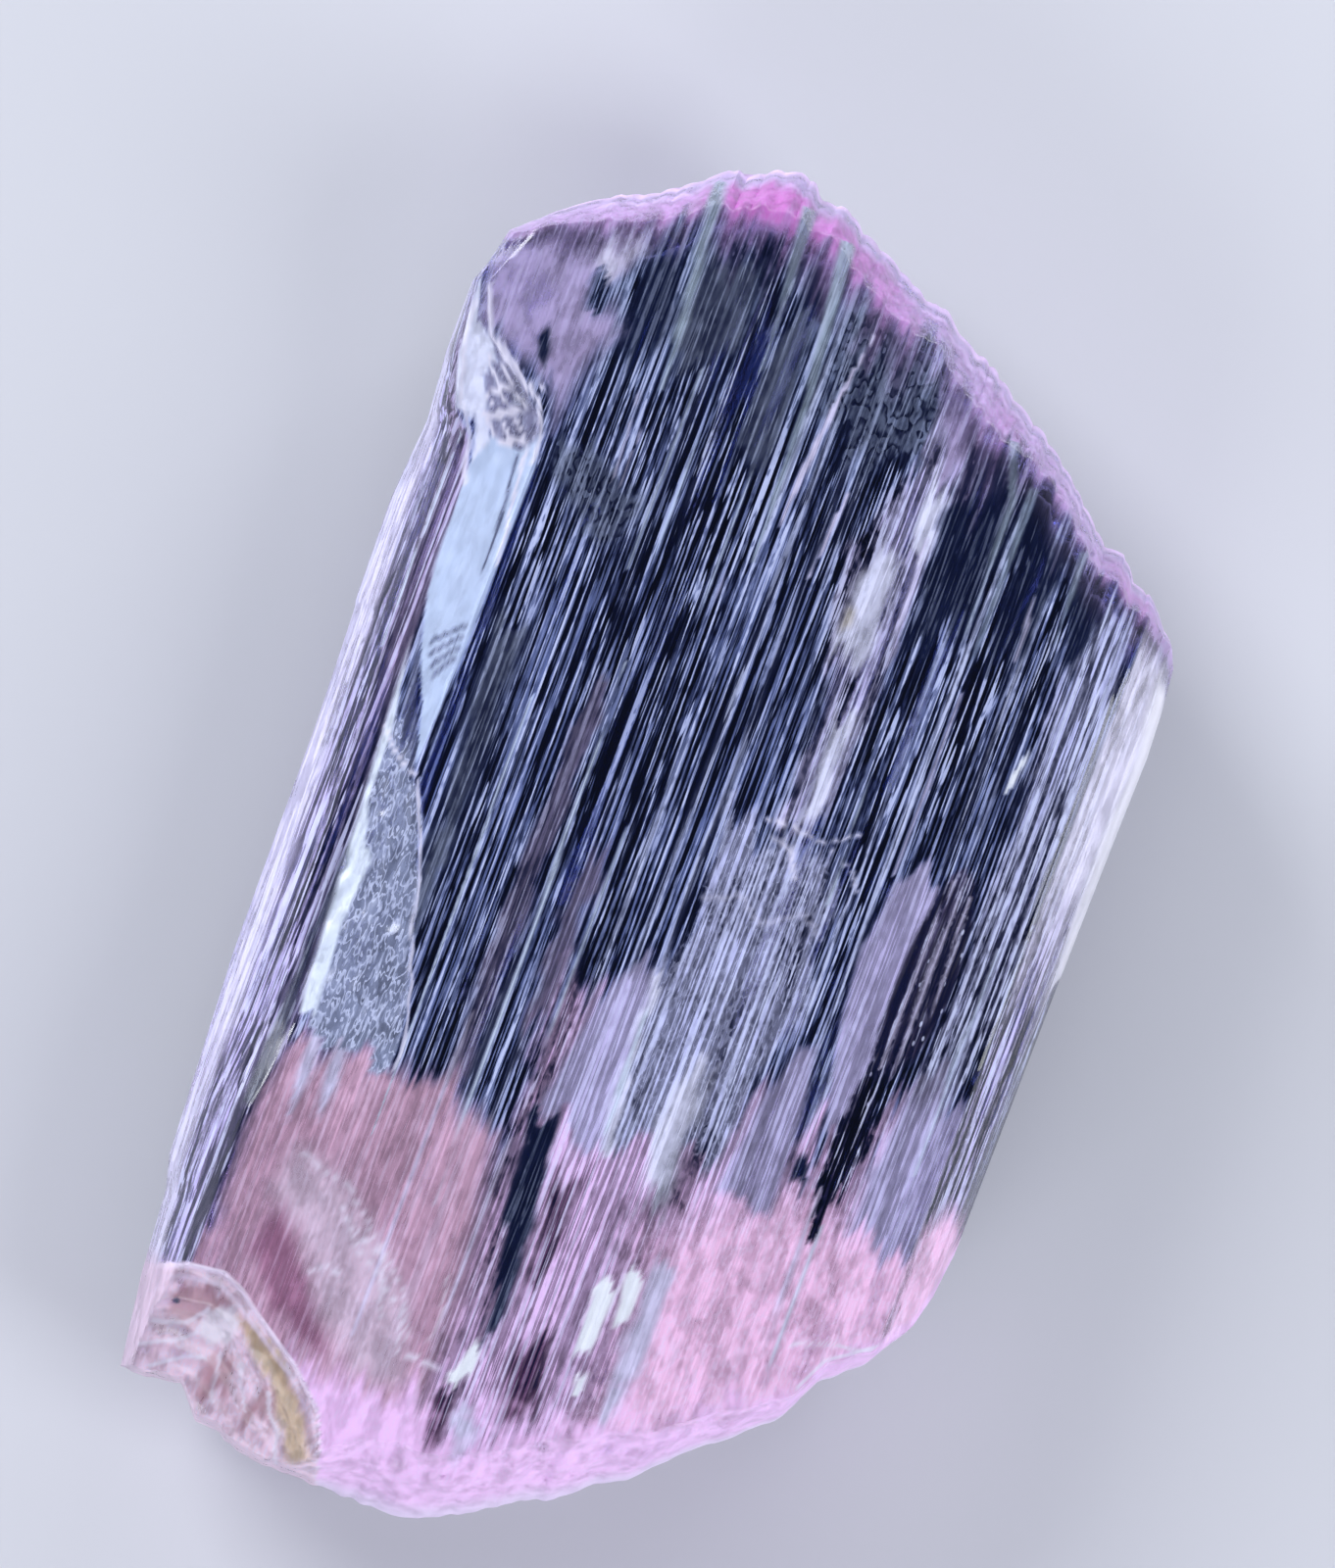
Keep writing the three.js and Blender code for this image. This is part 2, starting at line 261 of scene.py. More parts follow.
# The value at key on a line of (key, value) points.
def along(line, key):
    keys, values = zip(*line)
    return np.interp(key, keys, values)


def ramp(low, high, value):
    return np.clip((value - low) / (high - low), 0, 1)


def soft(share):
    return share * share * (3 - 2 * share)


def fade(low, high, value):
    return soft(ramp(low, high, value))


def lerp(a, b, share):
    return a + (b - a) * share


# A fixed random number between 0 and 1 for each pair of whole numbers.
def speck(i, j):
    n = np.sin(i * 12.9898 + j * 78.233) * 4375.85453
    return n - np.floor(n)


# Smooth unevenness between -1 and 1, with lumps of the given length in x and y.
def lumps(x, y, pitchX, pitchY=None, shift=100):
    u = x / pitchX + shift
    v = y / (pitchY or pitchX) + shift
    i, j = np.floor(u), np.floor(v)
    low = lerp(speck(i, j), speck(i + 1, j), soft(u - i))
    high = lerp(speck(i, j + 1), speck(i + 1, j + 1), soft(u - i))
    return lerp(low, high, soft(v - j)) * 2 - 1


def belt(x, y):
    level = lerp(crystal["brokenBeltHeight"], crystal["beltHeight"], ramp(*crystal["beltRise"], y))
    return level + crystal["beltWander"] * lumps(x, y, *crystal["beltLumps"])


# The lengthwise lines' x at y, from left to right.
def frontLines(y):
    shoulder = np.full_like(y, crystal["shoulderX"])
    side = np.full_like(y, crystal["sideX"])
    names = "left", "prism", "shelf", "right"
    left, prism, shelf, right = (along(outline[name], y) for name in names)
    return np.stack([left, prism, shelf, shoulder, side, right])


def backLines(y):
    left, right = along(outline["left"], y), along(outline["right"], y)
    return np.stack([left, left + crystal["reach"]["left"], np.full_like(y, crystal["backShoulderX"]),
                     np.full_like(y, crystal["shoulderX"]), right - crystal["reach"]["right"], right])


# Which band each column stands in, and how far across it.
def columnPlaces():
    band, across = [0], [0.0]
    for index, count in enumerate(net["columns"]):
        band += [index] * count
        across += [(k + 1) / count for k in range(count)]
    return np.array(band), np.array(across)


columnBand, columnAcross = columnPlaces()


def columnX(y, lines):
    atHeight = lines(y)
    which = columnBand[None, :, None]
    low = np.take_along_axis(atHeight, which, 0)[0]
    high = np.take_along_axis(atHeight, which + 1, 0)[0]
    return lerp(low, high, columnAcross[:, None])


# Where each column meets an end of the outline, found step by step.
def columnEnd(edge):
    y = np.zeros((len(columnBand), 1))
    for _ in range(net["endSteps"]):
        y = along(edge, columnX(y, frontLines))
    return y


# Rows from the broken end to the tip, crowded at both ends. One row follows the guide.
def columnRows(bottom, top, brokenBand, tipBand, guide):
    start = bottom + brokenBand
    end = top - tipBand
    brokenShare = np.linspace(0, 1, net["brokenRows"], endpoint=False)
    lowShare = np.linspace(0, 1, net["lowRows"], endpoint=False)
    middleShare = np.linspace(0, 1, net["middleRows"], endpoint=False)
    tipShare = np.linspace(0, 1, net["tipRows"] + 1)
    return np.hstack([
        lerp(bottom, start, brokenShare ** net["crowding"]),
        lerp(start, guide, lowShare),
        lerp(guide, end, middleShare),
        lerp(end, top, 1 - (1 - tipShare) ** net["crowding"]),
    ])


# Each growth step's height, which fades in and out along Y, and the share of it that has risen at x.
def growthStepShares(x, y):
    fromTip = fade(*crystal["growthStepFade"], along(outline["tip"], x) - y)
    for stepX, height in relief["growthSteps"]:
        strength = fromTip * np.minimum(ramp(-0.5, 0.7, lumps(stepX * 3.7, y, 1, 11)) * 1.5, 1.2)
        yield height * strength, ramp(stepX, stepX + crystal["growthStepWidth"], x)


def growthRelief(x, y):
    return sum(height * share for height, share in growthStepShares(x, y))


# The front over its lengthwise faces alone.
def lengthwiseHeight(x, y):
    left, prism, shelf, _, side, right = frontLines(y)
    edge = belt(x, y)
    drop = along(relief["shelfDrop"], y)
    top = crystal["thickness"] - crystal["frontSink"]
    prismTop = top - crystal["prismSink"] - drop
    shelfTop = top - crystal["shelfTilt"] * drop * ramp(-16, -10, y)
    prismFace = lerp(edge, prismTop, along(relief["prismProfile"], ramp(left, prism, x)))
    coarse, fine = crystal["tears"]
    torn = coarse * lumps(x, y, 0.8) + fine * lumps(x, y, 0.3, 0.9)
    torn = drop * along(relief["shelfTorn"], y) * torn
    shelfFace = lerp(prismTop, shelfTop, ramp(prism, shelf, x)) + torn
    sideFace = lerp(edge, top, along(relief["sideProfile"], ramp(right, side, x)))
    inner = np.minimum(ramp(shelf, shelf + 0.8, x), ramp(side, side - 1.4, x))
    frontFace = top + inner * growthRelief(x, y)
    return np.select([x < prism, x < shelf, x > side], [prismFace, shelfFace, sideFace], frontFace)


# The rough slope at the tip or at the broken end.
def endHeight(x, y, distance, width, profile, roughness):
    share = ramp(0, along(width, x), distance)
    smooth = lerp(belt(x, y), crystal["thickness"], along(profile, share))
    rough = roughness * (lumps(x, y, 1.2) + 0.6 * lumps(x, y, 0.5) + 0.35 * lumps(x, y, 0.25))
    return smooth + rough * np.sin(math.pi * share)


hollowEnd = outline["hollow"][-1][0]


def hollowDistance(x, y):
    return crystal["hollowSlant"] * (along(outline["hollow"], x) - y)


def hollowHeight(x, y):
    distance = hollowDistance(x, y)
    phase = distance * crystal["rippleRate"] + 2 * lumps(x, y, 1.1)
    ripples = crystal["rippleHeight"] * np.sin(phase)
    uneven = crystal["bowlUnevenness"] * lumps(x, y, 1.5)
    bowl = crystal["thickness"] - along(relief["hollowProfile"], distance) + uneven + ripples
    outside = (distance < 0) | (x > hollowEnd)
    return np.where(outside, np.inf, bowl)


def frontHeight(x, y, toTip, toBroken):
    tip = endHeight(x, y, toTip, relief["rimWidth"], relief["rimProfile"], crystal["tipRoughness"])
    broken = endHeight(x, y, toBroken, relief["breakWidth"], relief["breakProfile"],
                       crystal["brokenRoughness"])
    lowest = np.minimum.reduce([lengthwiseHeight(x, y), hollowHeight(x, y), tip, broken])
    return np.maximum(belt(x, y), lowest)


def backHeight(x, y, toTip, toBroken):
    edge = belt(x, y)
    reach = crystal["reach"]

    def slant(distance, width):
        return edge * (1 - ramp(0, width, distance))

    strip = crystal["restingStrip"]
    beside = ramp(strip, strip + 0.8, np.abs(x))
    return np.minimum(edge, np.maximum.reduce([
        crystal["backRelief"] * beside * lumps(x, y, 0.7, 12),
        slant(x - along(outline["left"], y), reach["left"]),
        slant(along(outline["right"], y) - x, reach["right"]),
        slant(toTip, reach["tip"]),
        slant(toBroken, reach["broken"]),
        np.zeros_like(x),
    ]))


# Rounded bumps with sharp notches between them.
def knobs(x):
    phase = x / crystal["knobPitch"] + 0.5 * lumps(x, 0, 2.3) + 0.2 * lumps(x, 0, 0.9)
    size = 0.6 + 0.4 * lumps(x, 7, 1.9)
    return size * (np.abs(np.sin(math.pi * phase)) ** 0.6 - 0.7)


def frontNet():
    bottom = columnEnd(outline["broken"])
    top = columnEnd(outline["tip"])
    bottomX = columnX(bottom, frontLines)
    topX = columnX(top, frontLines)
    inner = np.ones_like(top)
    inner[[0, -1]] = 0
    top = top + inner * crystal["knobHeight"] * ramp(-18, -14, topX) * knobs(topX)
    bottom = bottom + inner * crystal["brokenNotches"] * lumps(bottomX, bottom, 0.5)
    brokenBand = along(relief["breakWidth"], bottomX)
    tipBand = along(relief["rimWidth"], topX)
    guide = np.where(bottomX < net["guideEndX"], along(outline["hollow"], bottomX), net["guideY"])
    guide = np.maximum(guide, bottom + brokenBand + net["guideRoom"])
    y = columnRows(bottom, top, brokenBand, tipBand, guide)
    x = columnX(y, frontLines)
    z = frontHeight(x, y, top - y, y - bottom)
    return x, y, z, top, bottom


# Inside the shared outline the back has columns and rows of its own.
def backNet(frontX, frontY, top, bottom):
    count = len(columnBand)
    index = np.arange(count)[:, None]
    inward = np.minimum.reduce([np.ones((count, 1)), index / net["columns"][0],
                                (count - 1 - index) / net["columns"][4]])
    reach = crystal["reach"]
    guide = np.maximum(net["backGuideY"], bottom + net["backGuideRoom"])
    rows = columnRows(bottom, top, reach["broken"], reach["tip"], guide)
    y = lerp(frontY, rows, inward)
    toTip, toBroken = top - y, y - bottom
    endX = np.where(toTip < toBroken, frontX[:, -1:], frontX[:, :1])
    near = ramp(0, net["endBlend"], np.minimum(toTip, toBroken))
    x = lerp(endX, columnX(y, backLines), near)
    return x, y, backHeight(x, y, toTip, toBroken), toTip, toBroken


# What clouds the crystal, and the painted highlights and painted shade on it: linear colour, veil,
# growth lines, mottling, etching and flakes, each from 0 to 1.
looks = {
    "depth": ((0.35, 0.45, 0.98), 0.19, 1.0, 0.3, 0.0, 0.0),
    "upperDepth": ((0.30, 0.41, 0.82), 0.13, 0.75, 0.8, 0.3, 0.1),
    "mauve": ((0.36, 0.31, 0.54), 0.34, 0.5, 0.3, 0.0, 0.0),
    "mist": ((0.46, 0.42, 0.66), 0.50, 0.45, 0.3, 0.0, 0.0),
    "haze": ((0.34, 0.40, 0.62), 0.25, 0.4, 0.4, 0.1, 0.05),
    "worms": ((0.34, 0.41, 0.66), 0.30, 0.4, 0.5, 1.0, 0.2),
    "greyStreaks": ((0.56, 0.58, 0.92), 0.66, 0.9, 0.3, 0.0, 0.1),
    "lilacGlass": ((0.90, 0.60, 0.98), 0.70, 0.65, 0.5, 0.0, 0.1),
    "roseFrost": ((1.0, 0.59, 0.86), 0.86, 0.16, 0.45, 0.0, 0.3),
    "roseGlass": ((0.84, 0.49, 0.68), 0.68, 0.25, 0.3, 0.0, 0.05),
    "pearl": ((0.84, 0.62, 0.78), 0.74, 0.10, 0.4, 0.0, 0.15),
    "cloud": ((0.60, 0.49, 0.81), 0.62, 0.14, 0.5, 0.0, 0.1),
    "cloudWhite": ((0.84, 0.80, 1.0), 0.82, 0.1, 0.4, 0.0, 0.3),
    "band": ((0.64, 0.59, 0.95), 0.64, 0.85, 0.7, 0.1, 0.1),
    "bandWhite": ((0.80, 0.80, 1.0), 0.90, 0.4, 0.4, 0.0, 0.15),
    "gold": ((0.66, 0.60, 0.56), 0.8, 0.2, 0.3, 0.1, 0.1),
    "fracture": ((0.60, 0.62, 0.96), 0.66, 0.75, 0.6, 0.0, 0.32),
    "plane": ((0.70, 0.63, 1.0), 0.58, 0.45, 0.25, 0.0, 0.0),
    # painted shade: dark navy patches where the clear depth shows dark
    "shadeWindow": ((0.09, 0.13, 0.30), 0.10, 0.34, 0.3, 0.1, 0.1),
    "ovalDark": ((0.24, 0.20, 0.42), 0.28, 0.8, 0.2, 0.0, 0.5),
    # painted highlight: pale blue-lilac on the growth steps' walls
    "stepWallSheen": ((0.60, 0.65, 0.95), 0.45, 0.8, 0.4, 0.0, 0.0),
    "roseDeep": ((0.68, 0.30, 0.50), 0.58, 0.2, 0.3, 0.0, 0.05),
    "wine": ((0.22, 0.08, 0.22), 0.35, 0.8, 0.4, 0.2, 0.0),
    "glint": ((0.91, 0.94, 1.0), 1.0, 0.1, 0.1, 0.0, 0.0),
    # painted shade: near-black where the clear crystal shows dark
    "paintedShade": ((0.03, 0.04, 0.12), 0.5, 0.3, 0.2, 0.0, 0.0),
    # painted shade: near-black streaks
    "shadeStreak": ((0.04, 0.03, 0.10), 0.14, 0.1, 0.1, 0.0, 0.9),
    # painted shade: dark violet gaps
    "shadeGaps": ((0.14, 0.10, 0.27), 0.22, 1.0, 0.3, 0.0, 0.6),
    # painted shade: near-black gaps low on the right side face
    "sideShade": ((0.04, 0.03, 0.11), 0.72, 0.9, 0.3, 0.0, 0.4),
    "dusk": ((0.30, 0.34, 0.60), 0.35, 0.5, 0.3, 0.0, 0.1),
    "scales": ((0.45, 0.51, 0.76), 0.44, 0.1, 0.4, 0.0, 1.0),
    "facet": ((0.56, 0.67, 0.90), 0.88, 0.06, 0.2, 0.0, 0.1),
    "strip": ((0.80, 0.88, 1.0), 0.95, 0.1, 0.3, 0.2, 0.3),
    "fibres": ((0.42, 0.41, 0.64), 0.46, 0.0, 0.4, 0.0, 0.5),
    "wedge": ((0.80, 0.82, 1.0), 0.88, 0.05, 0.4, 0.1, 0.3),
    # painted light: the upper right side face is bright lavender-white
    "side": ((0.86, 0.82, 1.0), 0.95, 0.35, 0.4, 0.0, 0.0),
    # painted highlight along the right side face's outer edge
    "sideHighlight": ((0.96, 0.94, 1.0), 1.0, 0.15, 0.1, 0.0, 0.0),
    "sideLow": ((0.62, 0.55, 0.92), 0.60, 1.0, 0.6, 0.0, 0.1),
    "prism": ((0.64, 0.56, 0.98), 0.62, 0.9, 0.3, 0.0, 0.0),
    "prismPale": ((0.80, 0.75, 1.0), 0.84, 0.45, 0.3, 0.0, 0.0),
    "prismLilac": ((0.56, 0.44, 0.76), 0.52, 0.8, 0.3, 0.0, 0.0),
    "prismDusk": ((0.38, 0.32, 0.60), 0.44, 0.8, 0.3, 0.0, 0.0),
    "broken": ((1.0, 0.62, 1.0), 0.92, 0.06, 0.35, 0.0, 0.2),
    "brokenEdge": ((0.92, 0.76, 1.0), 0.96, 0.0, 0.3, 0.0, 0.1),
    "hollow": ((0.92, 0.66, 0.80), 0.78, 0.0, 0.6, 0.0, 0.5),
    "hollowDark": ((0.74, 0.42, 0.50), 0.64, 0.0, 0.4, 0.0, 0.1),
    "stone": ((0.88, 0.78, 0.88), 0.88, 0.0, 0.4, 0.1, 0.2),
    "ochre": ((0.68, 0.50, 0.34), 0.84, 0.0, 0.5, 0.0, 0.1),
    "lip": ((0.90, 0.76, 0.94), 0.95, 0.0, 0.3, 0.0, 0.1),
    "rimNear": ((0.42, 0.34, 0.68), 0.13, 0.5, 0.8, 0.3, 0.2),
    "rim": ((0.60, 0.43, 0.76), 0.74, 0.08, 0.6, 0.2, 0.4),
    "orchid": ((0.62, 0.17, 0.58), 0.86, 0.03, 0.3, 0.1, 0.1),
    # pale etched frost with a painted highlight along the rim's edge
    "rimEdgeFrostAndHighlight": ((0.86, 0.62, 0.96), 0.92, 0.0, 0.3, 0.05, 0.1),
    "rib": ((0.46, 0.56, 0.68), 0.60, 0.35, 0.3, 0.0, 0.0),
    "line": ((0.72, 0.82, 1.0), 0.85, 0.2, 0.3, 0.0, 0.0),
    "lilacLine": ((0.80, 0.74, 1.0), 0.8, 0.2, 0.3, 0.0, 0.0),
    "crack": ((0.90, 0.86, 1.0), 0.9, 0.0, 0.2, 0.0, 0.0),
    "backGlass": ((0.62, 0.54, 0.86), 0.06, 0.5, 0.4, 0.0, 0.0),
    "backSlant": ((0.62, 0.56, 0.90), 0.30, 0.8, 0.3, 0.0, 0.0),
}
fieldNames = ("veil", "lines", "mottle", "etch", "flakes")

# Areas of the front in mm, from the lowest layer up: look, corners, raggedness and blur of the edge.
areas = [
    ("haze", [(-8.5, 27.4), (-6.0, 27.8), (-5.7, 23.8), (-7.3, 22.4), (-9.0, 23.0)], 1.0, 0.8),
    ("haze", [(-4.2, 26.0), (-2.9, 26.0), (-2.6, 19.0), (-3.6, 17.5), (-4.6, 20.0)], 1.2, 0.6),
    ("worms", [(-1.9, 28.4), (0.9, 27.9), (3.9, 27.7), (4.3, 24.6), (4.0, 21.4), (0.9, 20.5),
               (-1.4, 22.3)], 1.2, 1.2),
    ("worms", [(-12.3, 16.2), (-9.0, 17.0), (-7.4, 15.4), (-7.8, 12.6), (-10.2, 13.4),
               (-12.2, 14.6)], 1.0, 0.8),
    ("haze", [(-12.2, 9.0), (-10.2, 8.0), (-10.0, -6.0), (-10.6, -12.0), (-11.4, 2.0)], 1.5, 0.9),
    ("mauve", [(-6.9, 6.0), (-5.8, 7.0), (-5.7, -16.0), (-7.0, -16.0)], 1.5, 0.4),
    ("mauve", [(-4.6, -1.0), (-3.4, 1.0), (-3.2, -9.0), (-4.2, -10.0)], 1.5, 0.5),
    ("mist", [(13.9, 4.5), (15.2, 5.5), (15.4, -6.0), (13.6, -6.5)], 1.2, 0.5),
    ("greyStreaks", [(14.0, 19.5), (16.1, 18.6), (16.1, -4.0), (13.8, -5.0), (13.7, 6.0),
                     (13.2, 12.0)], 2.0, 0.6),
    ("lilacGlass", [(-3.4, -7.0), (2.0, -9.0), (8.0, -8.5), (13.0, -7.0), (18.5, -9.5),
                    (18.5, -22.0), (8.0, -29.0), (0.0, -33.0), (-5.0, -33.0), (-2.6, -25.0),
                    (-3.2, -16.0)], 2.6, 1.6),
    ("roseFrost", [(4.4, -16.0), (7.0, -13.4), (10.0, -11.4), (14.0, -12.0), (18.6, -11.4),
                   (18.6, -22.0), (8.0, -29.0), (4.0, -28.0), (5.0, -22.0)], 0.45, 4.2),
    ("roseGlass", [(-14.4, -13.0), (-6.4, -12.4), (-3.4, -14.4), (-2.4, -20.5), (-2.3, -24.5),
                   (-2.0, -34.0), (-17.0, -34.0), (-16.4, -24.0), (-14.6, -22.4),
                   (-14.8, -16.0)], 0.9, 1.8),
    ("roseDeep", [(-11.6, -20.0), (-10.2, -22.4), (-8.6, -24.0), (-7.4, -26.0), (-9.4, -25.6),
                  (-11.2, -24.2), (-12.4, -22.6)], 0.4, 0.9),
    ("pearl", [(-12.0, -17.6), (-9.2, -18.4), (-6.6, -20.6), (-4.8, -22.4), (-3.6, -26.0),
               (-6.0, -26.4), (-8.4, -24.4), (-10.0, -22.0), (-12.4, -19.8)], 0.25, 1.6),
    ("lilacLine", [(-13.2, -12.2), (-12.6, -12.6), (-12.5, -14.6), (-12.8, -16.8),
                   (-13.1, -15.2)], 0.3, 0.3),
    ("lilacLine", [(-12.0, -12.4), (-11.4, -12.0), (-11.2, -14.8), (-11.5, -16.4),
                   (-11.9, -14.4)], 0.3, 0.3),
    ("broken", [(-9.0, -26.2), (-6.0, -26.8), (-3.0, -26.0), (-1.0, -27.6), (3.0, -27.4),
                (8.0, -25.4), (13.0, -21.4), (13.0, -25.0), (3.0, -34.0), (-7.0, -34.0)], 1.2, 1.6),
    ("cloud", [(-18.4, 24.6), (-16.8, 26.8), (-14.5, 28.4), (-11.2, 28.2), (-11.3, 25.9),
               (-12.7, 23.7), (-10.9, 22.3), (-11.8, 21.0), (-12.5, 17.5), (-13.3, 18.6),
               (-15.5, 19.6), (-17.5, 20.4)], 0.7, 1.6),
    ("cloudWhite", [(-13.4, 26.8), (-11.8, 27.0), (-11.5, 25.9), (-12.0, 24.9), (-12.8, 24.2),
                    (-13.4, 25.2)], 0.35, 1.0),
    ("upperDepth", [(-13.2, 24.6), (-12.3, 24.6), (-12.3, 23.2), (-13.0, 22.9)], 0.5, 0.5),
    ("shadeWindow", [(-14.6, 20.9), (-14.3, 21.5), (-13.9, 20.7), (-13.9, 19.7),
                (-14.3, 20.0)], 0.15, 0.4),
    ("band", [(2.3, 28.0), (6.0, 27.5), (5.8, 24.6), (5.7, 22.8), (5.9, 20.0), (5.7, 16.8),
              (5.9, 14.1), (5.6, 11.8), (5.9, 9.1), (5.4, 5.5), (4.6, 3.4), (3.4, 4.0), (3.8, 9.1),
              (3.4, 11.8), (2.4, 13.7), (1.9, 16.5), (3.0, 19.2), (3.9, 21.4),
              (3.6, 24.6)], 1.4, 0.5),
    ("cloud", [(3.8, 28.2), (5.9, 27.6), (5.8, 22.8), (4.9, 21.6), (4.2, 24.6)], 1.4, 0.6),
    ("bandWhite", [(3.0, 16.6), (4.6, 17.0), (4.9, 12.4), (4.2, 11.6), (2.9, 13.4)], 1.0, 0.7),
    ("bandWhite", [(4.2, 9.4), (5.2, 9.6), (5.2, 5.0), (4.5, 4.0)], 1.2, 0.4),
    ("bandWhite", [(4.6, 21.5), (5.6, 21.5), (5.5, 18.0), (4.7, 18.0)], 1.5, 0.4),
    ("gold", [(2.9, 14.4), (3.4, 14.5), (3.5, 13.6), (3.0, 13.3)], 0.2, 0.4),
    ("fracture", [(0.9, 3.7), (3.2, 2.8), (5.5, 3.7), (7.5, 1.8), (7.0, -0.9), (8.0, -4.1),
                  (6.8, -7.2), (6.4, -11.8), (0.9, -12.2), (0.5, -5.9), (1.6, -1.8)], 1.1, 0.8),
    ("bandWhite", [(0.6, -5.4), (1.2, -5.4), (1.5, -12.5), (0.5, -12.5)], 1.4, 0.3),
    ("bandWhite", [(3.4, -8.0), (4.6, -7.6), (4.8, -14.5), (3.8, -15.0), (3.0, -11.0)], 1.4, 0.8),
    ("plane", [(-2.2, -12.5), (-1.4, -7.2), (-0.5, -4.1), (0.2, -3.8), (0.7, -5.9),
               (1.0, -12.8)], 1.0, 0.5),
    ("plane", [(6.7, -12.8), (7.2, -8.2), (8.0, -5.3), (8.7, -5.0), (9.3, -8.2),
               (9.4, -13.0)], 0.3, 0.5),
    ("plane", [(13.2, -6.5), (16.2, -5.0), (17.5, -8.0), (17.0, -12.5), (13.0, -12.0)], 1.2, 0.8),
    ("plane", [(9.4, 3.2), (10.6, 4.6), (11.5, 3.5), (11.4, -5.0), (11.2, -8.6), (10.4, -8.2),
               (9.4, -4.5), (9.0, -0.5)], 0.5, 0.35),
    ("ovalDark", [(11.5, 3.6), (12.0, 4.8), (12.8, 4.8), (13.4, 3.2), (13.7, 0.0), (13.4, -3.2),
                  (12.7, -5.0), (11.8, -5.6), (11.2, -4.4), (11.1, 0.0)], 0.35, 0.2),
    # painted shade: dark gaps below the oval
    ("shadeGaps", [(10.9, -5.4), (12.0, -5.4), (12.7, -8.4), (12.0, -11.4), (11.0, -11.8)], 2.2, 0.5),
    # painted shade: dark navy patches
    ("shadeWindow", [(5.8, 25.8), (7.3, 24.9), (9.0, 23.4), (8.7, 18.1), (8.2, 14.6), (6.1, 13.2),
                (5.8, 19.1), (5.6, 21.4)], 1.8, 0.6),
    ("shadeWindow", [(9.2, 22.6), (11.1, 21.4), (12.0, 20.5), (11.3, 17.2), (10.9, 14.0), (9.8, 14.2),
                (9.4, 18.2)], 1.8, 0.6),
    ("shadeWindow", [(11.8, 20.8), (13.6, 19.3), (13.9, 17.0), (13.6, 13.6), (13.0, 14.6),
                (12.4, 18.2)], 1.6, 0.5),
    ("shadeWindow", [(-4.1, 29.6), (-2.5, 28.6), (-2.5, 26.0), (-3.9, 26.0)], 0.9, 0.4),
    ("shadeWindow", [(-10.2, 28.2), (-9.3, 26.0), (-9.0, 22.7), (-10.6, 21.0), (-10.9, 26.0)], 1.4, 0.5),
    ("shadeWindow", [(-2.5, -13.0), (-1.2, -12.6), (-0.6, -17.2), (-0.4, -21.4), (-0.9, -23.0),
                (-1.5, -19.0), (-2.2, -15.5)], 1.2, 0.4),
    ("wine", [(-2.0, -25.9), (-1.3, -25.4), (-1.1, -28.2), (-1.8, -28.6)], 0.8, 0.3),
    ("wine", [(0.7, -21.8), (2.2, -21.6), (2.5, -26.2), (1.2, -27.0)], 1.4, 0.7),
    ("wine", [(-0.3, -15.0), (0.6, -14.0), (0.9, -18.0), (0.2, -19.5)], 1.6, 0.8),
    ("shadeWindow", [(9.6, -9.8), (10.5, -10.2), (10.4, -11.3), (9.7, -11.2)], 0.7, 0.4),
    ("glint", [(3.0, -19.2), (3.6, -18.2), (4.1, -18.6), (3.9, -21.6), (3.2, -22.2)], 0.5, 0.2),
    ("glint", [(4.2, -17.6), (5.0, -17.8), (5.0, -20.2), (4.4, -20.8)], 0.5, 0.2),
    ("glint", [(3.6, -22.8), (4.2, -22.6), (4.3, -23.8), (3.8, -24.0)], 0.5, 0.2),
    ("glint", [(-2.0, -25.2), (-1.6, -24.3), (-1.3, -23.2), (-0.8, -23.4), (-0.8, -24.3),
               (-1.3, -25.2)], 0.4, 0.15),
    ("lilacLine", [(-1.2, -26.0), (-0.2, -25.4), (0.4, -27.0), (-0.4, -28.4)], 0.8, 0.4),
    ("lilacLine", [(5.3, -16.2), (6.2, -16.6), (6.4, -22.0), (5.6, -25.0), (5.1, -22.0)], 1.4, 0.7),
]

prismAreas = [
    # painted shade: a dark strip on the left prism face
    ("paintedShade", [(-14.7, -4.0), (-14.5, -4.0), (-14.3, -11.8), (-14.3, -16.0), (-14.6, -16.9),
               (-15.1, -16.2), (-15.0, -12.4)], 0.6, 0.3),
]

sideAreas = [
    # painted shade: dark gaps low on the right side face
    ("sideShade", [(17.8, -5.0), (18.0, 0.5), (18.4, 1.8), (18.5, -11.5), (17.8, -11.8),
                  (17.5, -9.5)], 1.2, 0.2),
    ("roseFrost", [(15.9, -11.0), (17.2, -9.6), (18.7, -10.4), (18.7, -20.0),
                   (15.9, -20.0)], 0.5, 1.6),
]

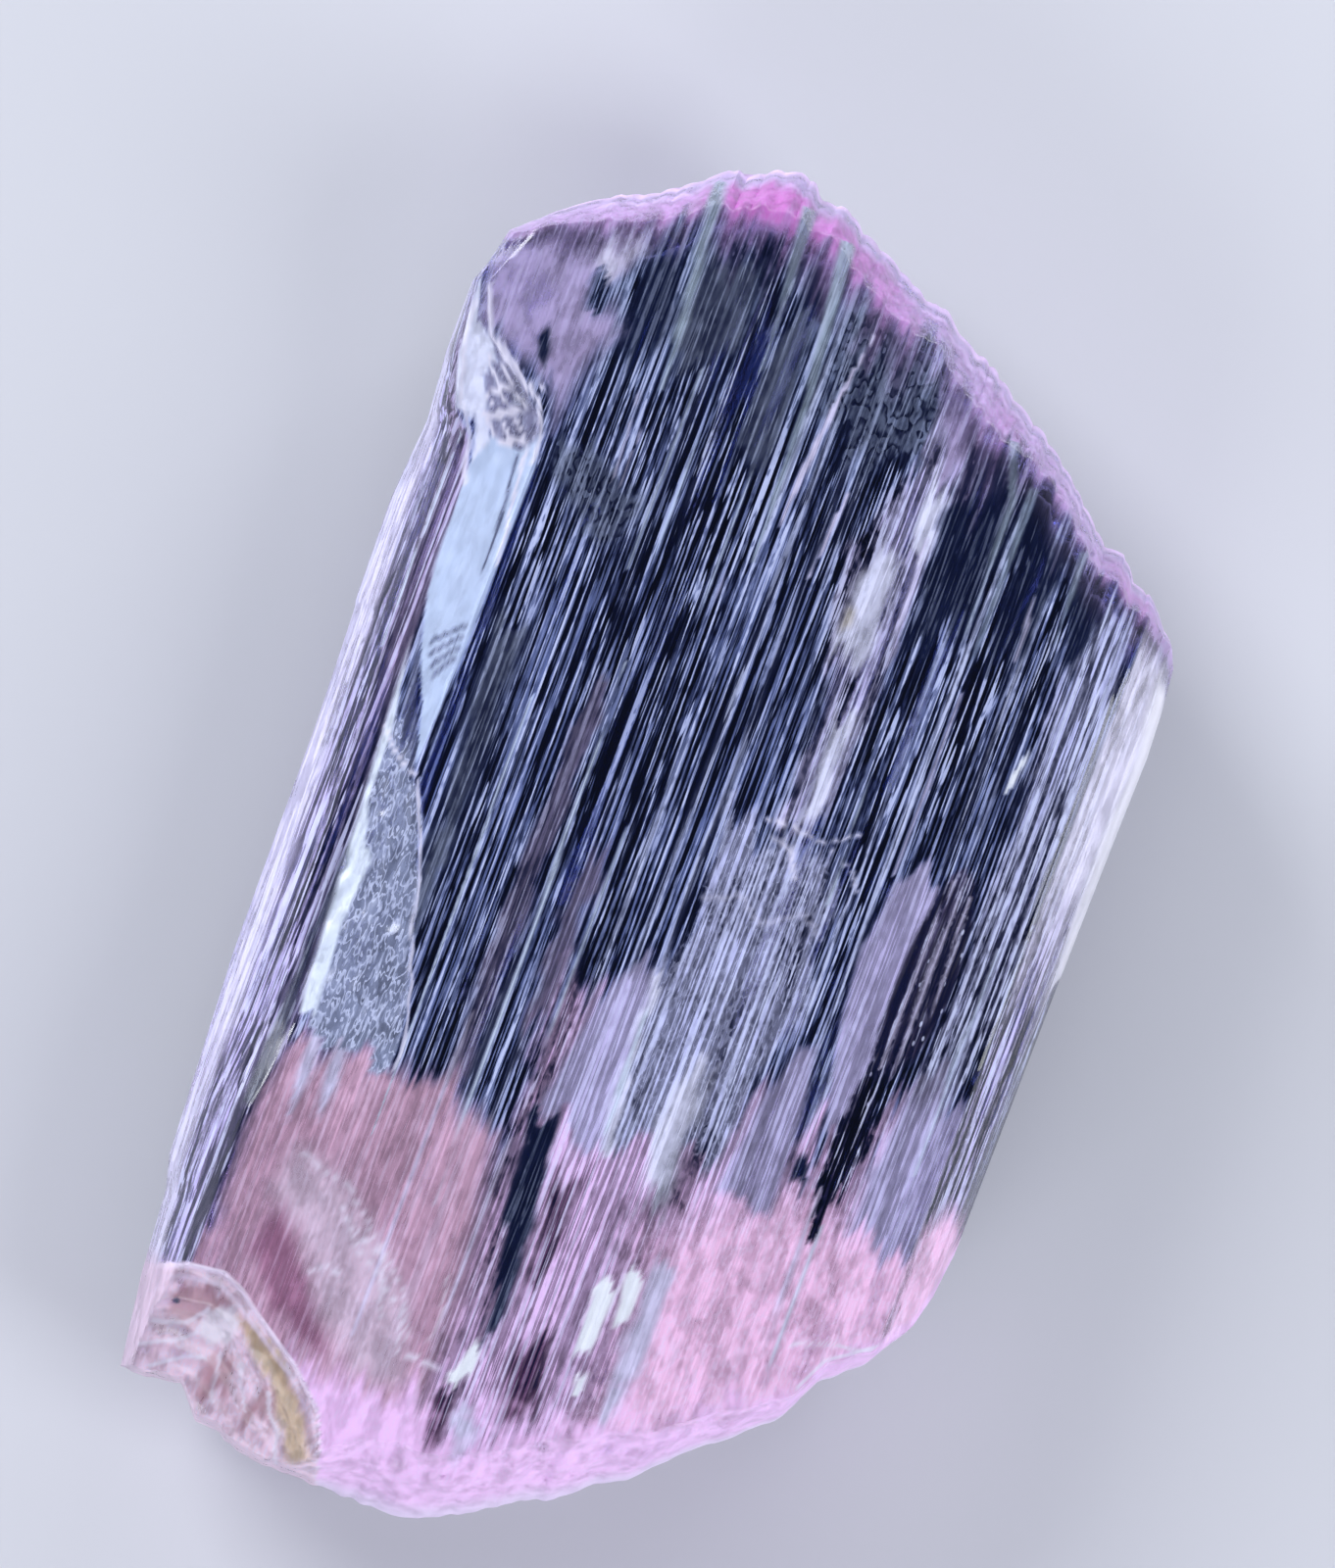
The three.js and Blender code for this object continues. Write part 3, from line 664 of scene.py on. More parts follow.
# The fractured shelf beside the left prism face.
shelfAreas = [
    ("dusk", [(-15.0, 6.6), (-13.1, 0.8), (-12.9, 0.0), (-13.7, 0.5), (-14.5, 2.8)], 0.1, 0.15),
    ("scales", [(-14.8, 3.2), (-13.7, 0.7), (-12.8, 0.1), (-11.9, -1.6), (-10.9, -4.5),
                (-10.5, -6.7), (-9.8, -8.5), (-9.2, -10.4), (-9.0, -13.0), (-13.7, -12.6),
                (-14.5, -3.6)], 0.9, 0.2),
    ("facet", [(-15.6, 15.9), (-13.4, 16.3), (-12.8, 17.0), (-12.6, 14.6), (-12.7, 7.8),
               (-12.8, 3.7), (-13.0, 0.5), (-13.7, 3.2), (-14.5, 5.2), (-15.1, 7.3), (-15.5, 9.6),
               (-15.5, 12.8)], 0.12, 0.1),
    ("strip", [(-15.3, 6.4), (-14.9, 3.7), (-14.6, 1.8), (-14.5, -1.8), (-14.0, -3.4),
               (-13.4, -4.5), (-13.6, -7.2), (-13.4, -11.8), (-14.1, -11.9), (-14.6, -8.2),
               (-15.0, -3.6), (-15.2, 0.9), (-15.6, 5.9)], 0.3, 0.12),
    ("fibres", [(-17.3, 20.2), (-15.5, 20.1), (-13.9, 19.2), (-13.1, 18.4), (-12.8, 16.8),
                (-13.2, 16.1), (-13.6, 15.7), (-15.0, 15.9), (-15.5, 16.8), (-16.3, 18.4),
                (-16.0, 19.3)], 0.2, 0.2),
    ("wedge", [(-18.1, 22.8), (-17.5, 20.9), (-16.6, 20.0), (-16.0, 19.3), (-16.3, 18.4),
               (-15.5, 16.8), (-15.0, 15.7), (-15.5, 14.6), (-16.0, 16.4), (-17.0, 16.6),
               (-17.6, 17.8), (-17.8, 19.1), (-18.0, 20.9)], 0.2, 0.2),
]

# The shell-like hollow at the broken end.
hollowAreas = [
    ("hollowDark", [(-15.0, -25.7), (-13.6, -25.0), (-12.2, -25.6), (-13.2, -26.2), (-13.8, -27.2),
                    (-14.8, -26.9)], 0.4, 0.5),
    ("stone", [(-13.2, -26.0), (-12.1, -25.8), (-11.6, -26.4), (-11.7, -27.3), (-12.7, -27.7),
               (-13.4, -27.1)], 0.35, 0.4),
    ("hollowDark", [(-12.5, -27.9), (-11.1, -27.9), (-10.8, -29.4), (-12.4, -29.7)], 0.8, 0.7),
    ("hollowDark", [(-10.2, -29.2), (-8.6, -28.9), (-8.5, -30.3), (-10.0, -30.4)], 0.8, 0.7),
    ("ochre", [(-11.8, -26.1), (-10.6, -26.1), (-8.8, -27.4), (-7.3, -29.1), (-6.4, -30.9),
               (-7.3, -31.4), (-8.3, -29.9), (-9.3, -28.4), (-10.6, -27.1)], 0.35, 0.6),
]

hollowPitShade = {"place": (-14.7, -26.3), "edge": (0.2, 0.12)}  # painted shade of a pit in it
brokenCorner = {"x": (-14.9, -15.6), "y": (-24.4, -25.6)}   # pearly glass beside it

# Lengthwise streaks: look, share, then (y, x, half width) from the lower end up.
streaks = [
    ("rib", 0.95, [(20.5, -8.5, 0.05), (23.7, -8.64, 0.30), (30.7, -9.3, 0.45)]),
    ("rib", 0.85, [(22.7, -4.45, 0.05), (26.4, -4.64, 0.28), (30.9, -5.0, 0.45)]),
    ("rib", 0.9, [(14.6, -1.8, 0.05), (22.7, -2.05, 0.30), (30.0, -2.8, 0.5)]),
    ("rib", 0.7, [(14.6, 8.55, 0.05), (21.4, 8.4, 0.28), (24.1, 7.5, 0.36)]),
    ("rib", 0.7, [(12.3, 9.2, 0.05), (18.0, 9.2, 0.25), (22.3, 9.1, 0.34)]),
    ("rib", 0.65, [(15.9, 12.5, 0.05), (18.5, 12.4, 0.25), (20.5, 12.3, 0.3)]),
    ("lilacLine", 1.0, [(15.9, -1.3, 0.04), (19.5, -1.05, 0.24), (23.2, -0.7, 0.16),
                        (26.4, -0.2, 0.04)]),
    ("lilacLine", 1.0, [(15.0, 0.9, 0.04), (17.4, 1.05, 0.2), (19.1, 1.2, 0.04)]),
    ("line", 1.0, [(-18.0, -5.2, 0.07), (-3.0, -5.35, 0.15), (8.6, -5.6, 0.05)]),
    ("line", 0.9, [(-16.0, -8.95, 0.04), (-2.0, -9.0, 0.11), (5.5, -9.1, 0.04)]),
    ("lilacLine", 0.8, [(-25.0, -2.85, 0.04), (-20.0, -2.9, 0.11), (-14.0, -2.9, 0.05)]),
    ("lilacLine", 0.8, [(-25.0, -6.6, 0.04), (-17.0, -6.6, 0.10), (-9.0, -6.6, 0.04)]),
    ("line", 0.9, [(1.0, 6.9, 0.05), (5.5, 6.8, 0.11), (9.0, 6.8, 0.04)]),
    ("line", 0.8, [(-21.0, 11.9, 0.05), (-16.0, 11.8, 0.12), (-12.6, 11.8, 0.06)]),
    ("line", 0.8, [(12.3, -7.05, 0.04), (17.0, -7.05, 0.13), (22.3, -7.05, 0.04)]),
    ("line", 0.8, [(12.3, -6.05, 0.04), (16.0, -6.05, 0.13), (20.5, -6.05, 0.04)]),
    ("line", 0.8, [(10.9, -3.2, 0.04), (15.0, -3.2, 0.13), (19.1, -3.2, 0.04)]),
    ("lilacLine", 0.8, [(10.9, -2.7, 0.03), (13.0, -2.7, 0.11), (15.9, -2.7, 0.03)]),
    ("lilacLine", 0.75, [(15.9, -9.1, 0.03), (18.0, -9.2, 0.11), (20.9, -9.45, 0.03)]),
    ("lilacLine", 0.75, [(15.9, -8.7, 0.03), (17.5, -8.7, 0.1), (19.1, -8.7, 0.03)]),
    ("lilacLine", 0.9, [(12.3, 5.6, 0.05), (16.0, 5.5, 0.18), (18.5, 5.3, 0.05)]),
    ("lilacLine", 0.8, [(14.5, 11.0, 0.04), (16.5, 10.95, 0.13), (17.8, 10.9, 0.04)]),
    ("lilacLine", 0.8, [(3.5, 9.3, 0.04), (8.0, 9.35, 0.14), (12.5, 9.3, 0.04)]),
    ("glint", 1.0, [(8.7, 12.8, 0.05), (9.6, 12.85, 0.26), (10.4, 13.0, 0.16),
                    (11.3, 13.05, 0.04)]),
    ("line", 0.9, [(-12.5, 1.1, 0.05), (-9.0, 0.9, 0.2), (-5.5, 0.8, 0.05)]),
    ("lilacLine", 0.8, [(-19.0, 11.3, 0.05), (-14.0, 11.2, 0.2), (-11.0, 11.2, 0.06)]),
    ("line", 0.7, [(-9.0, 15.0, 0.04), (-3.0, 14.9, 0.14), (2.0, 15.0, 0.04)]),
    ("line", 0.8, [(-12.0, -2.85, 0.03), (-6.0, -2.9, 0.11), (1.5, -2.95, 0.03)]),
    # painted shade: dark lengthwise lines
    ("paintedShade", 0.9, [(3.6, 16.1, 0.06), (10.0, 16.05, 0.13), (16.4, 16.0, 0.06)]),
    ("paintedShade", 0.9, [(-11.0, 18.15, 0.2), (-6.0, 18.2, 0.16), (1.3, 18.3, 0.05)]),
    ("paintedShade", 0.9, [(4.0, -16.9, 0.05), (9.0, -16.8, 0.14), (14.8, -16.75, 0.05)]),
    ("paintedShade", 0.7, [(5.0, -17.3, 0.04), (9.0, -17.25, 0.09), (12.8, -17.2, 0.04)]),
    ("line", 0.9, [(5.0, -16.4, 0.03), (9.0, -16.45, 0.08), (15.8, -16.4, 0.03)]),
    ("dusk", 0.8, [(9.5, -13.2, 0.05), (12.5, -13.3, 0.12), (15.8, -13.6, 0.05)]),
    # painted shade: near-black streaks in the oval
    ("shadeStreak", 1.0, [(-5.4, 11.6, 0.1), (-2.0, 11.35, 0.32), (1.5, 11.4, 0.28),
                       (4.2, 11.9, 0.1)]),
    ("shadeStreak", 1.0, [(-4.4, 13.0, 0.1), (-1.0, 13.4, 0.3), (2.5, 13.3, 0.25), (4.4, 12.9, 0.1)]),
    ("shadeStreak", 0.9, [(-4.6, 12.1, 0.06), (1.0, 12.1, 0.16), (4.6, 12.2, 0.06)]),
    ("shadeStreak", 0.9, [(-4.0, 12.8, 0.06), (1.0, 12.75, 0.12), (4.4, 12.7, 0.06)]),
    ("lilacLine", 0.85, [(-5.0, 11.8, 0.06), (0.0, 11.8, 0.13), (4.4, 11.95, 0.06)]),
    ("lilacLine", 0.85, [(-5.4, 12.4, 0.06), (0.0, 12.4, 0.18), (4.6, 12.4, 0.06)]),
    ("lilacLine", 0.8, [(-4.0, 13.0, 0.05), (1.0, 13.05, 0.14), (3.8, 12.9, 0.05)]),
]

# Thin bright edges of fractures: share, half width, then points (x, y).
cracks = [
    (0.75, 0.10, [(2.7, 3.8), (4.3, 4.1), (5.7, 3.7), (7.3, 4.8)]),
    (0.65, 0.12, [(3.2, 3.2), (4.5, 3.0), (5.2, 1.8)]),
    (0.65, 0.12, [(6.1, 3.7), (7.5, 3.0), (8.0, 2.3)]),
    (0.4, 0.12, [(3.6, 4.4), (4.0, 3.4), (5.0, 2.3)]),
    (0.35, 0.16, [(1.4, -0.5), (3.0, 0.2), (4.2, -0.8), (6.0, 0.4), (7.2, -0.4)]),
    (0.7, 0.10, [(12.5, -18.2), (14.1, -17.6), (15.9, -17.3)]),
    (0.7, 0.10, [(13.4, -20.0), (14.1, -18.4), (16.1, -17.0)]),
    (0.5, 0.11, [(-11.6, -17.9), (-9.1, -18.6), (-6.4, -20.9), (-5.0, -22.2), (-4.2, -24.2)]),
    (0.6, 0.10, [(-8.0, -20.4), (-6.6, -21.0), (-5.9, -22.4), (-4.9, -22.9), (-4.4, -24.9)]),
    (0.5, 0.10, [(-9.2, -19.3), (-7.6, -21.2), (-6.2, -22.0), (-5.6, -23.6)]),
    (0.6, 0.12, [(-9.4, -22.8), (-8.6, -22.2), (-8.0, -22.6)]),
    (0.5, 0.10, [(-3.4, -20.9), (-3.2, -22.4), (-3.1, -23.8)]),
    (0.7, 0.12, [(-3.9, -24.9), (-2.3, -24.9)]),
    (0.8, 0.10, [(-15.0, 1.8), (-13.7, 0.5), (-12.8, 0.1), (-12.0, -1.5), (-10.9, -4.4),
                 (-10.4, -6.8), (-9.7, -8.6), (-9.2, -10.6), (-9.0, -12.8)]),
    (0.95, 0.10, [(-13.3, 15.9), (-12.95, 13.0), (-12.8, 10.5)]),
    (0.8, 0.14, [(-17.6, 22.3), (-16.7, 20.4), (-15.0, 19.2), (-13.6, 18.2), (-12.9, 16.8),
                 (-12.8, 15.4)]),
    (0.7, 0.14, [(-17.9, 21.5), (-17.6, 19.0), (-16.9, 16.9), (-16.0, 15.6), (-15.5, 13.5)]),
    (0.6, 0.14, [(-15.4, -27.6), (-13.9, -27.1), (-13.2, -26.2)]),
    (0.6, 0.12, [(-15.6, -28.8), (-14.0, -28.0), (-13.3, -27.4)]),
    (0.7, 0.12, [(-14.8, -29.6), (-13.4, -28.6), (-12.6, -28.4)]),
    (0.6, 0.12, [(-12.0, -28.0), (-11.6, -30.2)]),
    (0.6, 0.12, [(-10.9, -28.0), (-10.0, -30.0)]),
    (0.7, 0.12, [(-9.3, -28.8), (-8.2, -30.6), (-7.8, -31.8)]),
]

# Fine slanting scratches on the fractured shelf.
scratches = [(0.55, 0.15, [(-14.3 + 0.2 * k, 6.2 - 0.5 * k), (-13.1, 7.4 - 0.55 * k)])
             for k in range(4)]

# Wavy white edges of the torn crystal below the left shoulder.
tornWaves = {
    "count": 7,
    "points": 5,
    "start": (-16.5, 20.0),
    "nextWave": (0.16, -0.6),
    "nextPoint": (0.72, -0.34),
    "zigzag": 0.16,
    "share": 0.95,
    "halfWidth": 0.10,
}


def tornWave(k):
    points = []
    for j in range(tornWaves["points"] - k // 3):
        x, y = (start + wave * k + point * j for start, wave, point in
                zip(tornWaves["start"], tornWaves["nextWave"], tornWaves["nextPoint"]))
        points.append((x, y + tornWaves["zigzag"] * (-1) ** (j + k)))
    return tornWaves["share"], tornWaves["halfWidth"], points


def segmentDistance(x, y, a, b):
    (ax, ay), (bx, by) = a, b
    dx, dy = bx - ax, by - ay
    share = np.clip(((x - ax) * dx + (y - ay) * dy) / (dx * dx + dy * dy), 0, 1)
    return np.hypot(x - ax - share * dx, y - ay - share * dy)


# 1 inside the corners and 0 outside. A ragged edge is drawn out along the growth lines.
def areaMask(x, y, corners, ragged, blur):
    comb = lumps(x, y, 0.5, 5) + 0.7 * lumps(x, y + 9, 0.17, 3) + 0.5 * lumps(x + 30, y, 1.3, 2.5)
    shiftX = 0.16 * ragged * (lumps(x, y, 0.6, 1.4) + 0.6 * lumps(x + 40, y, 0.25, 0.6))
    x, y = x + shiftX, y + 0.8 * ragged * comb
    inside = np.zeros(x.shape, bool)
    nearest = np.full(x.shape, np.inf)
    for a, b in zip(corners, corners[1:] + corners[:1]):
        nearest = np.minimum(nearest, segmentDistance(x, y, a, b))
        crosses = (a[1] > y) != (b[1] > y)
        rise = b[1] - a[1] or 1e-9
        inside ^= crosses & (x < a[0] + (y - a[1]) * (b[0] - a[0]) / rise)
    return fade(-blur / 2, blur / 2, np.where(inside, nearest, -nearest))


def streakMask(x, y, points):
    heights, middles, halves = zip(*points)
    middle, half = np.interp(y, heights, middles), np.interp(y, heights, halves)
    inside = (y > heights[0]) & (y < heights[-1])
    return inside * fade(1.0, 0.45, np.abs(x - middle) / half)


def crackMask(x, y, half, points):
    bend = 0.09 * lumps(x, y, 0.8)
    distances = [segmentDistance(x + bend, y + bend, a, b) for a, b in zip(points, points[1:])]
    return fade(1.2 * half, 0.4 * half, np.minimum.reduce(distances))


# Bends the edges of the bands at both ends.
def wander(x, y):
    return 0.35 * lumps(x, y, 0.9) + 0.2 * lumps(x, y, 0.35)


def blankFields(shape, look):
    tone, *values = looks[look]
    fields = {name: np.full(shape, value) for name, value in zip(fieldNames, values)}
    fields["tone"] = np.ones(shape + (3,)) * np.array(tone)
    return fields


def paint(fields, mask, look):
    tone, *values = looks[look]
    for name, value in zip(fieldNames, values):
        fields[name] = lerp(fields[name], value, mask)
    fields["tone"] = lerp(fields["tone"], np.array(tone), mask[..., None])


def paintAreas(fields, x, y, within, areaList):
    for look, corners, ragged, blur in areaList:
        paint(fields, within * areaMask(x, y, corners, ragged, blur), look)


# Where the bands of the front fade in, in mm: from nothing to all.
fades = {
    "upperDepth": (17, 25),        # y
    "upperSide": (-2.0, 5.0),      # y
    "upperPrism": (-1.0, 6.0),     # y
    "sideHighlight": (0.9, 0.4),        # from the right side
    "stepHeight": (0, 0.09),       # growth steps whose walls get the painted highlight
    "hollowLip": (0.36, 0.22),     # from the hollow's edge
    "hollowLedge": (0.14, 0.06),   # from the ledge
    "tipTerraces": (0.5, 3.0),     # from the tip
    "brokenTerraces": (0.5, 3.5),  # from the broken end
    "terraceShelf": (0.1, 0.6),    # drop of the shelf that ends the terraces
    "depth": (0.5, 4.0),           # from both ends
    "backSlant": (0.8, 2.0),       # z
    "backRim": (2.6, 1.2),         # from the tip
    "backBroken": (3.0, 1.2),      # from the broken end
    "backTerraces": (0, 2.0),      # from both ends
    # shares of the rough band at the broken end
    "broken": (1.6, 0.5),
    "brokenEdge": (0.3, 0.0),
}
hollowLedge = 0.62  # mm from the hollow's edge


def paintGrowthSteps(fields, x, y):
    # painted highlight: the growth steps' walls are painted pale, as bright lines where they catch
    # the lamps
    for height, share in growthStepShares(x, y):
        stepWallSheen = ramp(0.2, 0.5, share) * ramp(0.8, 0.5, share)
        paint(fields, stepWallSheen * ramp(*fades["stepHeight"], np.abs(height)), "stepWallSheen")


# The right side face: painted light, bright lavender-white towards the tip with a painted highlight
# along its outer edge, darker lilac lower down, with painted shade in its gaps.
def paintSide(fields, x, y, side, right):
    face = ramp(side, side + 0.15, x)
    high = fade(*fades["upperSide"], y + 3 * lumps(x, y, 0.3, 5))
    edge = ramp(*fades["sideHighlight"], right - x + 0.2 * lumps(x, y, 0.4, 3))
    paint(fields, face, "sideLow")
    paint(fields, face * high, "side")
    paint(fields, face * high * edge, "sideHighlight")
    paintAreas(fields, x, y, face, sideAreas)


# The left prism face lies in lengthwise strips, which show between these shares of its width.
prismStrips = {"prismPale": (0.40, 0.24), "prismLilac": (0.52, 0.66), "prismDusk": (0.74, 0.84)}


def paintPrism(fields, x, y, left, prism):
    face = ramp(prism + 0.1, prism - 0.1, x)
    across = ramp(left, prism, x) + 0.06 * lumps(x, y, 0.5, 7)
    high = fade(*fades["upperPrism"], y + 2 * lumps(x, y, 0.4, 5))
    paint(fields, face, "prism")
    for look, strength in (("prismPale", 1), ("prismLilac", high), ("prismDusk", 1 - high)):
        paint(fields, face * fade(*prismStrips[look], across) * strength, look)
    paintAreas(fields, x, y, 1, prismAreas)


def paintHollow(fields, x, y):
    deep = hollowDistance(x, y)
    within = ramp(0, 0.1, deep) * (x < hollowEnd)
    paint(fields, within, "hollow")
    paintAreas(fields, x, y, within, hollowAreas)
    paint(fields, within * ramp(*fades["hollowLip"], deep), "lip")
    paint(fields, within * ramp(*fades["hollowLedge"], np.abs(deep - hollowLedge)) * 0.6, "lip")


# How strong the orchid pink is along the etched tip as (x, share).
orchidAlong = [
    (-18, 0.1), (-13, 0.25), (-10, 0.45), (-8.9, 0.95), (-5.4, 1.0), (-5.1, 0.6), (-4.3, 0.85),
    (-2.3, 0.75), (0, 0.6), (1.2, 0.4), (2.5, 0.15), (5.5, 0.15), (7.0, 0.4), (8.0, 0.12),
    (9.5, 0.2), (12.5, 0.08), (14.2, 0.4), (15.8, 0.5), (16.8, 0.1), (18.2, 0.0)]


# The bands of the etched rim, which fade between these shares of its width, and the scallop line. The
# edge band and the scallop line are pale etched frost with a painted highlight along the outline and
# the knobs.
rimBands = {"rim": (1.2, 0.6), "near": (2.2, 0.7), "pink": (0.16, 0.45), "edge": (0.15, 0.03),
            "scallopLine": 0.3, "scallopWidth": (0.08, 0.02)}


def paintRim(fields, x, y, toTip):
    share = toTip / along(relief["rimWidth"], x)
    bend = wander(x, y)
    comb = 0.5 * lumps(x, y, 0.45, 3.5) + 0.3 * lumps(x + 20, y, 0.2, 1.5)
    rim = fade(*rimBands["rim"], share + 0.5 * comb + 0.3 * bend)
    near = fade(*rimBands["near"], share + 1.1 * comb + 0.5 * bend)
    paint(fields, 0.85 * near, "rimNear")
    paint(fields, rim, "rim")
    pink = along(orchidAlong, x)
    paint(fields, rim * pink * fade(*rimBands["pink"], share + 0.25 * bend), "orchid")
    paint(fields, 0.4 * near * (1 - rim) * pink, "orchid")
    # painted highlight, with pale frost, along the knobs' edges and the outer edge
    scallops = np.abs(share + 0.14 * knobs(x + 0.3 * toTip) + 0.1 * bend - rimBands["scallopLine"])
    paint(fields, 0.5 * (1 - 0.6 * pink) * ramp(*rimBands["scallopWidth"], scallops), "rimEdgeFrostAndHighlight")
    paint(fields, fade(*rimBands["edge"], share + 0.08 * bend), "rimEdgeFrostAndHighlight")


# How strong the growth terraces are: none at the ends, on the torn shelf or in the hollow.
def terraceShare(x, y, toTip, toBroken):
    _, prism, shelf, _, _, _ = frontLines(y)
    torn = fade(prism - 1.0, prism, x) * fade(shelf + 2.0, shelf, x)
    torn = torn * ramp(*fades["terraceShelf"], along(relief["shelfDrop"], y))
    hollow = fade(-0.8, 0.4, hollowDistance(x, y)) * fade(1.0, 0.0, x - hollowEnd)
    middle = fade(*fades["tipTerraces"], toTip) * fade(*fades["brokenTerraces"], toBroken)
    return middle * (1 - 0.9 * torn) * (1 - hollow)


def frontFields(x, y, toTip, toBroken):
    left, prism, shelf, _, side, right = frontLines(y)
    fields = blankFields(x.shape, "depth")
    paint(fields, fade(*fades["upperDepth"], y + 3 * wander(x, y)), "upperDepth")
    paintGrowthSteps(fields, x, y)
    paintAreas(fields, x, y, 1, areas)
    paintSide(fields, x, y, side, right)
    paintPrism(fields, x, y, left, prism)
    shelfFace = ramp(prism - 0.25, prism - 0.05, x) * ramp(shelf + 0.3, shelf + 0.1, x)
    paintAreas(fields, x, y, shelfFace, shelfAreas)
    breakShare = toBroken / along(relief["breakWidth"], x)
    paint(fields, fade(*fades["broken"], breakShare + wander(x, y)), "broken")
    paint(fields, fade(*fades["brokenEdge"], breakShare), "brokenEdge")
    paintHollow(fields, x, y)
    corner = ramp(*brokenCorner["x"], x) * ramp(*brokenCorner["y"], y)
    paint(fields, corner, "pearl")
    paintRim(fields, x, y, toTip)
    for look, share, points in streaks:
        paint(fields, share * streakMask(x, y, points), look)
    for share, half, points in cracks + [tornWave(k) for k in range(tornWaves["count"])]:
        paint(fields, share * crackMask(x, y, half, points), "crack")
    for share, half, points in scratches:
        paint(fields, share * crackMask(x, y, half, points), "dusk")
    # painted shade of the pit in the hollow
    pitX, pitY = hollowPitShade["place"]
    paint(fields, ramp(*hollowPitShade["edge"], np.hypot(x - pitX, y - pitY)), "paintedShade")
    fields["terrace"] = terraceShare(x, y, toTip, toBroken)
    # share of the painted dark shade tint in the front's clear depth, away from both ends
    fields["depth"] = fade(*fades["depth"], np.minimum(toTip, toBroken))
    return fields


def backFields(x, y, z, toTip, toBroken):
    fields = blankFields(x.shape, "backGlass")
    paint(fields, ramp(*fades["backSlant"], z), "backSlant")
    paint(fields, 0.7 * fade(*fades["backRim"], toTip + wander(x, y)), "rim")
    paint(fields, 0.7 * fade(*fades["backBroken"], toBroken + wander(x, y)), "broken")
    fields["terrace"] = 0.8 * fade(*fades["backTerraces"], np.minimum(toTip, toBroken))
    fields["depth"] = np.zeros_like(x)
    return fields


# The back's cells are twice as large, so those at the rim take in the point between their corners.
def backCells(backIds, rimIds):
    faces = []
    columns, rows = backIds.shape
    for i in range(columns - 1):
        for j in range(rows - 1):
            cell = [backIds[i, j]]
            if i == 0:
                cell.append(rimIds[0, 2 * j + 1])
            cell.append(backIds[i, j + 1])
            if j == rows - 2:
                cell.append(rimIds[2 * i + 1, -1])
            cell.append(backIds[i + 1, j + 1])
            if i == columns - 2:
                cell.append(rimIds[-1, 2 * j + 1])
            cell.append(backIds[i + 1, j])
            if j == 0:
                cell.append(rimIds[2 * i + 1, 0])
            faces.append([int(k) for k in cell])
    return faces


def frontCells(ids):
    corners = [ids[:-1, :-1], ids[1:, :-1], ids[1:, 1:], ids[:-1, 1:]]
    return np.stack(corners, -1).reshape(-1, 4).tolist()


def edgeMask(shape):
    mask = np.zeros(shape, bool)
    mask[[0, -1], :] = True
    mask[:, [0, -1]] = True
    return mask


def storeField(mesh, name, kind, key, values):
    mesh.attributes.new(name, kind, "POINT").data.foreach_set(key, values.astype(np.float32).ravel())


def makeCrystalMesh():
    x, y, z, top, bottom = frontNet()
    rim = edgeMask(x.shape)
    z = np.where(rim, belt(x, y), z)
    back = [values[::2, ::2] for values in backNet(x, y, top, bottom)]
    backX, backY, backZ, backToTip, backToBroken = back
    inner = ~edgeMask(backX.shape)
    frontIds = np.arange(x.size).reshape(x.shape)
    backIds = frontIds[::2, ::2].copy()
    backIds[inner] = x.size + np.arange(inner.sum())
    points = np.vstack([
        np.column_stack([x.ravel(), y.ravel(), z.ravel()]),
        np.column_stack([backX[inner], backY[inner], backZ[inner]]),
    ])
    faces = frontCells(frontIds) + backCells(backIds, frontIds)
    mesh = bpy.data.meshes.new("kunziteCrystal")
    mesh.from_pydata((points * mm).tolist(), [], faces)

    front = frontFields(x, y, top - y, y - bottom)
    rear = backFields(backX, backY, backZ, backToTip, backToBroken)
    for name in fieldNames + ("terrace", "depth"):
        values = np.concatenate([front[name].ravel(), rear[name][inner]])
        storeField(mesh, name, "FLOAT", "value", values)
    tone = np.vstack([front["tone"].reshape(-1, 3), rear["tone"][inner]])
    tone = np.column_stack([tone, np.ones(len(tone))])
    storeField(mesh, "tone", "FLOAT_COLOR", "color", tone)
    free = np.concatenate([np.where(rim, 0.0, 1.0).ravel(), np.ones(inner.sum())])
    storeField(mesh, "inner", "FLOAT", "value", free)
    print("crystal net:", len(points), "points,", len(faces), "cells")
    return mesh


# Growth terraces and etching, by Geometry Nodes.
growthLines = {
    "Step Height": 0.055 * mm,
    "Step Spacing": 2.2 * mm,
    "Step Length": 45 * mm,
    "Steps": 5.0,
    "Step Softness": 0.6,
    "Back Gain": 1.9,
    "Back Drop": 0.26 * mm,
    "Etch Depth": 0.09 * mm,
    "Etch Size": 0.42 * mm,
    "Seed": 4.0,
}


# How the terraces' and the etching's noises differ.
backShift = 7.3      # of the back's terraces against the front's
etchShift = 5.0
terraceDetail = 2.0
etchDetail = 3.0
etchStretch = 1.7    # along the crystal


def mathNode(tree, operation, a, b=None):
    node = tree.nodes.new("ShaderNodeMath")
    node.operation = operation
    for socket, value in zip(node.inputs, (a, b)):
        if isinstance(value, bpy.types.NodeSocket):
            tree.links.new(value, socket)
        elif value is not None:
            socket.default_value = value
    return node.outputs[0]


